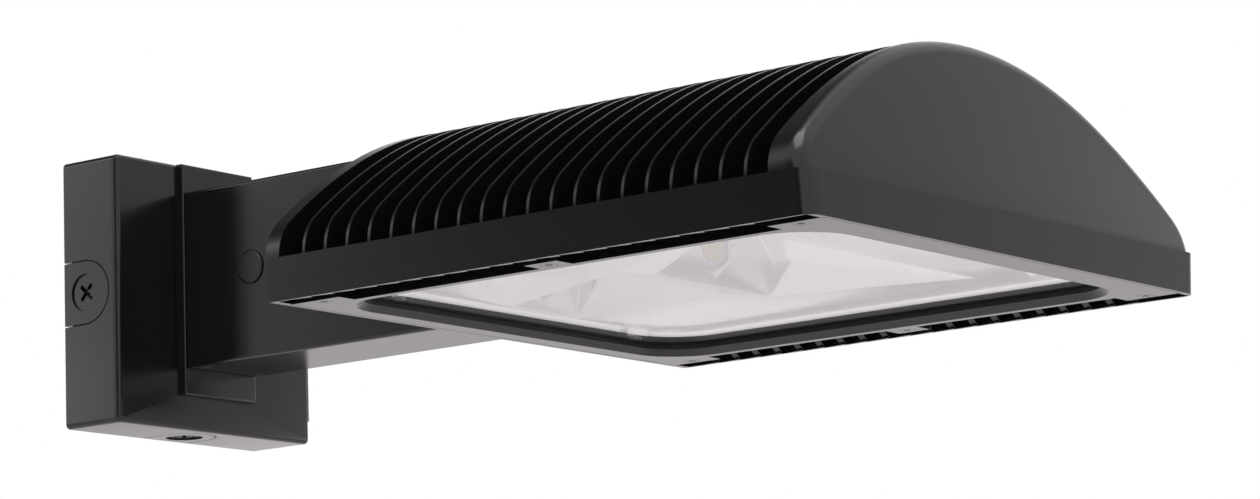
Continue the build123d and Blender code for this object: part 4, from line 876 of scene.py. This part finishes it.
@dataclass
class Studio:
    """The camera at the photograph's place, soft lamps, a white world and a pale floor.

    What metal and glass mirror of the floor holds a painted pool of light: it is at the painted pool's level
    below the light and fades to floor_far, and the pool's distances count from the origin.
    """

    camera_place: tuple[float, float, float] = (-1.7718, -1.6774, -0.3957)
    yaw: float = math.radians(52.884)
    pitch: float = math.radians(9.867)
    roll: float = math.radians(-1.954)
    lens: float = 122.92
    floor_z: float = -2.5
    floor_half: float = 14.0
    tint: tuple[float, float, float] = (1.0, 0.95, 0.985)
    dim_level: float = 0.45
    floor_far: float = 0.86
    # painted pool of light in the floor's reflections: its level below the light, and the distances over
    # which it fades
    floor_near: float = 1.0
    pool: tuple[float, float] = (2.4, 3.6)
    dark_sides: tuple[DarkSide, ...] = (
        DarkSide((-0.95, 0.30, 0.10), 0.955, 0.87, 0.12),
        DarkSide((0.15, 0.62, 0.77), 0.95, 0.72, 0.10),
        DarkSide((0.80, -0.58, 0.16), 0.97, 0.90, 0.68),
    )
    lamps: tuple[SoftLamp, ...] = (
        SoftLamp("top_softbox", (-0.6, -1.2, 3.2), 2.2, 2.2, 40.0),
        SoftLamp("back_softbox", (-1.5, 2.6, 1.0), 1.8, 1.8, 12.0),
        SoftLamp("low_side_strip", (-1.62, 2.12, 0.10), 0.8, 0.5, 2.6),
        SoftLamp("low_front_strip", (2.7, -1.35, -0.1), 1.2, 0.5, 3.8),
    )
    aim: tuple[float, float, float] = (0.0, -0.3, 0.0)

    def camera(self) -> None:
        """Places the camera: right, up and back are its axes, turned by the roll about the view."""
        ahead = Vector((math.sin(self.yaw) * math.cos(self.pitch),
                        math.cos(self.yaw) * math.cos(self.pitch), math.sin(self.pitch)))
        level = Vector((math.cos(self.yaw), -math.sin(self.yaw), 0.0))
        upright = level.cross(ahead)
        right = math.cos(self.roll) * level + math.sin(self.roll) * upright
        up = -math.sin(self.roll) * level + math.cos(self.roll) * upright
        data = bpy.data.cameras.new("photo_camera")
        data.sensor_fit = "HORIZONTAL"
        data.sensor_width = 36.0
        data.lens = self.lens
        data.clip_start = 0.05
        data.clip_end = 60.0
        camera = bpy.data.objects.new("photo_camera", data)
        turn = Matrix((right, up, -ahead)).transposed()
        camera.matrix_world = Matrix.Translation(self.camera_place) @ turn.to_4x4()
        bpy.context.scene.collection.objects.link(camera)
        bpy.context.scene.camera = camera

    def light(self) -> None:
        """Hangs the soft lamps, each an upright oblong facing the aim."""
        for soft in self.lamps:
            data = bpy.data.lights.new(soft.name, "AREA")
            data.shape = "RECTANGLE"
            data.size = soft.width
            data.size_y = soft.height
            data.energy = soft.power
            data.color = self.tint
            lamp = bpy.data.objects.new(soft.name, data)
            lamp.location = soft.place
            lamp.rotation_mode = "QUATERNION"
            lamp.rotation_quaternion = (Vector(self.aim) - Vector(soft.place)).to_track_quat("-Z", "Y")
            bpy.context.scene.collection.objects.link(lamp)

    def room_level(self, nodes: bpy.types.Nodes, links: bpy.types.NodeLinks) -> bpy.types.NodeSocket:
        """How bright the room is in each direction: the product of its dark sides' levels."""
        ray_way = nodes.new("ShaderNodeTexCoord").outputs["Generated"]
        product = None
        for dark in self.dark_sides:
            cosine = nodes.new("ShaderNodeVectorMath")
            cosine.operation = "DOT_PRODUCT"
            cosine.inputs[1].default_value = Vector(dark.side).normalized()
            links.new(ray_way, cosine.inputs[0])
            level = mapped(nodes, links, cosine.outputs["Value"], (dark.edge, dark.full),
                           (1.0, dark.level), "SMOOTHSTEP")
            both = nodes.new("ShaderNodeMath")
            both.operation = "MULTIPLY"
            both.inputs[1].default_value = 1.0
            links.new(level, both.inputs[0])
            if product is not None:
                links.new(product, both.inputs[1])
            product = both.outputs["Value"]
        return product

    def world(self) -> None:
        """White where the camera sees it, a soft room in reflections, and dim for diffuse light."""
        world = bpy.data.worlds.new("studio")
        bpy.context.scene.world = world
        world.use_nodes = True
        nodes = world.node_tree.nodes
        links = world.node_tree.links
        nodes.clear()

        def layer(level: float, colour: tuple[float, float, float]) -> bpy.types.Node:
            """One plain background."""
            node = nodes.new("ShaderNodeBackground")
            node.inputs["Color"].default_value = (*colour, 1.0)
            node.inputs["Strength"].default_value = level
            return node

        def over(lower: bpy.types.Node, upper: bpy.types.Node, ray: bpy.types.NodeSocket) -> bpy.types.Node:
            """Shows the upper layer to one kind of ray."""
            node = nodes.new("ShaderNodeMixShader")
            links.new(ray, node.inputs[0])
            links.new(lower.outputs[0], node.inputs[1])
            links.new(upper.outputs[0], node.inputs[2])
            return node

        path = nodes.new("ShaderNodeLightPath")
        room = layer(1.0, self.tint)
        links.new(self.room_level(nodes, links), room.inputs["Strength"])
        white = layer(1.0, (1.0, 1.0, 1.0))
        seen = over(layer(self.dim_level, self.tint), room, path.outputs["Is Glossy Ray"])
        seen = over(seen, white, path.outputs["Is Transmission Ray"])
        seen = over(seen, white, path.outputs["Is Camera Ray"])
        out = nodes.new("ShaderNodeOutputWorld")
        links.new(seen.outputs[0], out.inputs["Surface"])

    def floor(self) -> None:
        """A flat pale sheet under the light, near white where metal and glass mirror it, with a painted pool
        of light below the light in those reflections.
        """
        side = np.array([-1.0, 1.0]) * self.floor_half
        x, y = np.meshgrid(side, side)
        points = np.stack([x.ravel(), y.ravel(), np.full(4, self.floor_z)], 1)
        mesh = bpy.data.meshes.new("floor")
        mesh.from_pydata(points.tolist(), [], [(0, 1, 3, 2)])
        floor = bpy.data.objects.new("floor", mesh)
        bpy.context.scene.collection.objects.link(floor)
        tree = Tree("floor")
        cloud = tree.noise(0.6, 2.0)
        tree.set(Base_Color=tree.blend(cloud, (0.86, 0.86, 0.86), (0.88, 0.88, 0.88)), Roughness=0.8)
        # painted pool of light: metal and glass mirror the floor brighter below the light than farther out
        far, near = (shade(self.tint, level) for level in (self.floor_far, self.floor_near))
        tree.mirrored_as(tree.blend(tree.pool(*self.pool), far, near))
        mesh.materials.append(tree.material)

    def build(self) -> None:
        """Makes the whole studio."""
        bpy.context.scene.view_settings.view_transform = "Standard"
        self.camera()
        self.light()
        self.world()
        self.floor()


def main() -> None:
    """Builds the scene in order."""
    logging.basicConfig(level=logging.INFO, format="%(message)s")
    Studio().build()
    CarriedNodes().dress()
    Castings().build()
    LensFrame().build()
    Reflector().build()
    BandRibs().build()


if __name__ == "__main__":
    main()
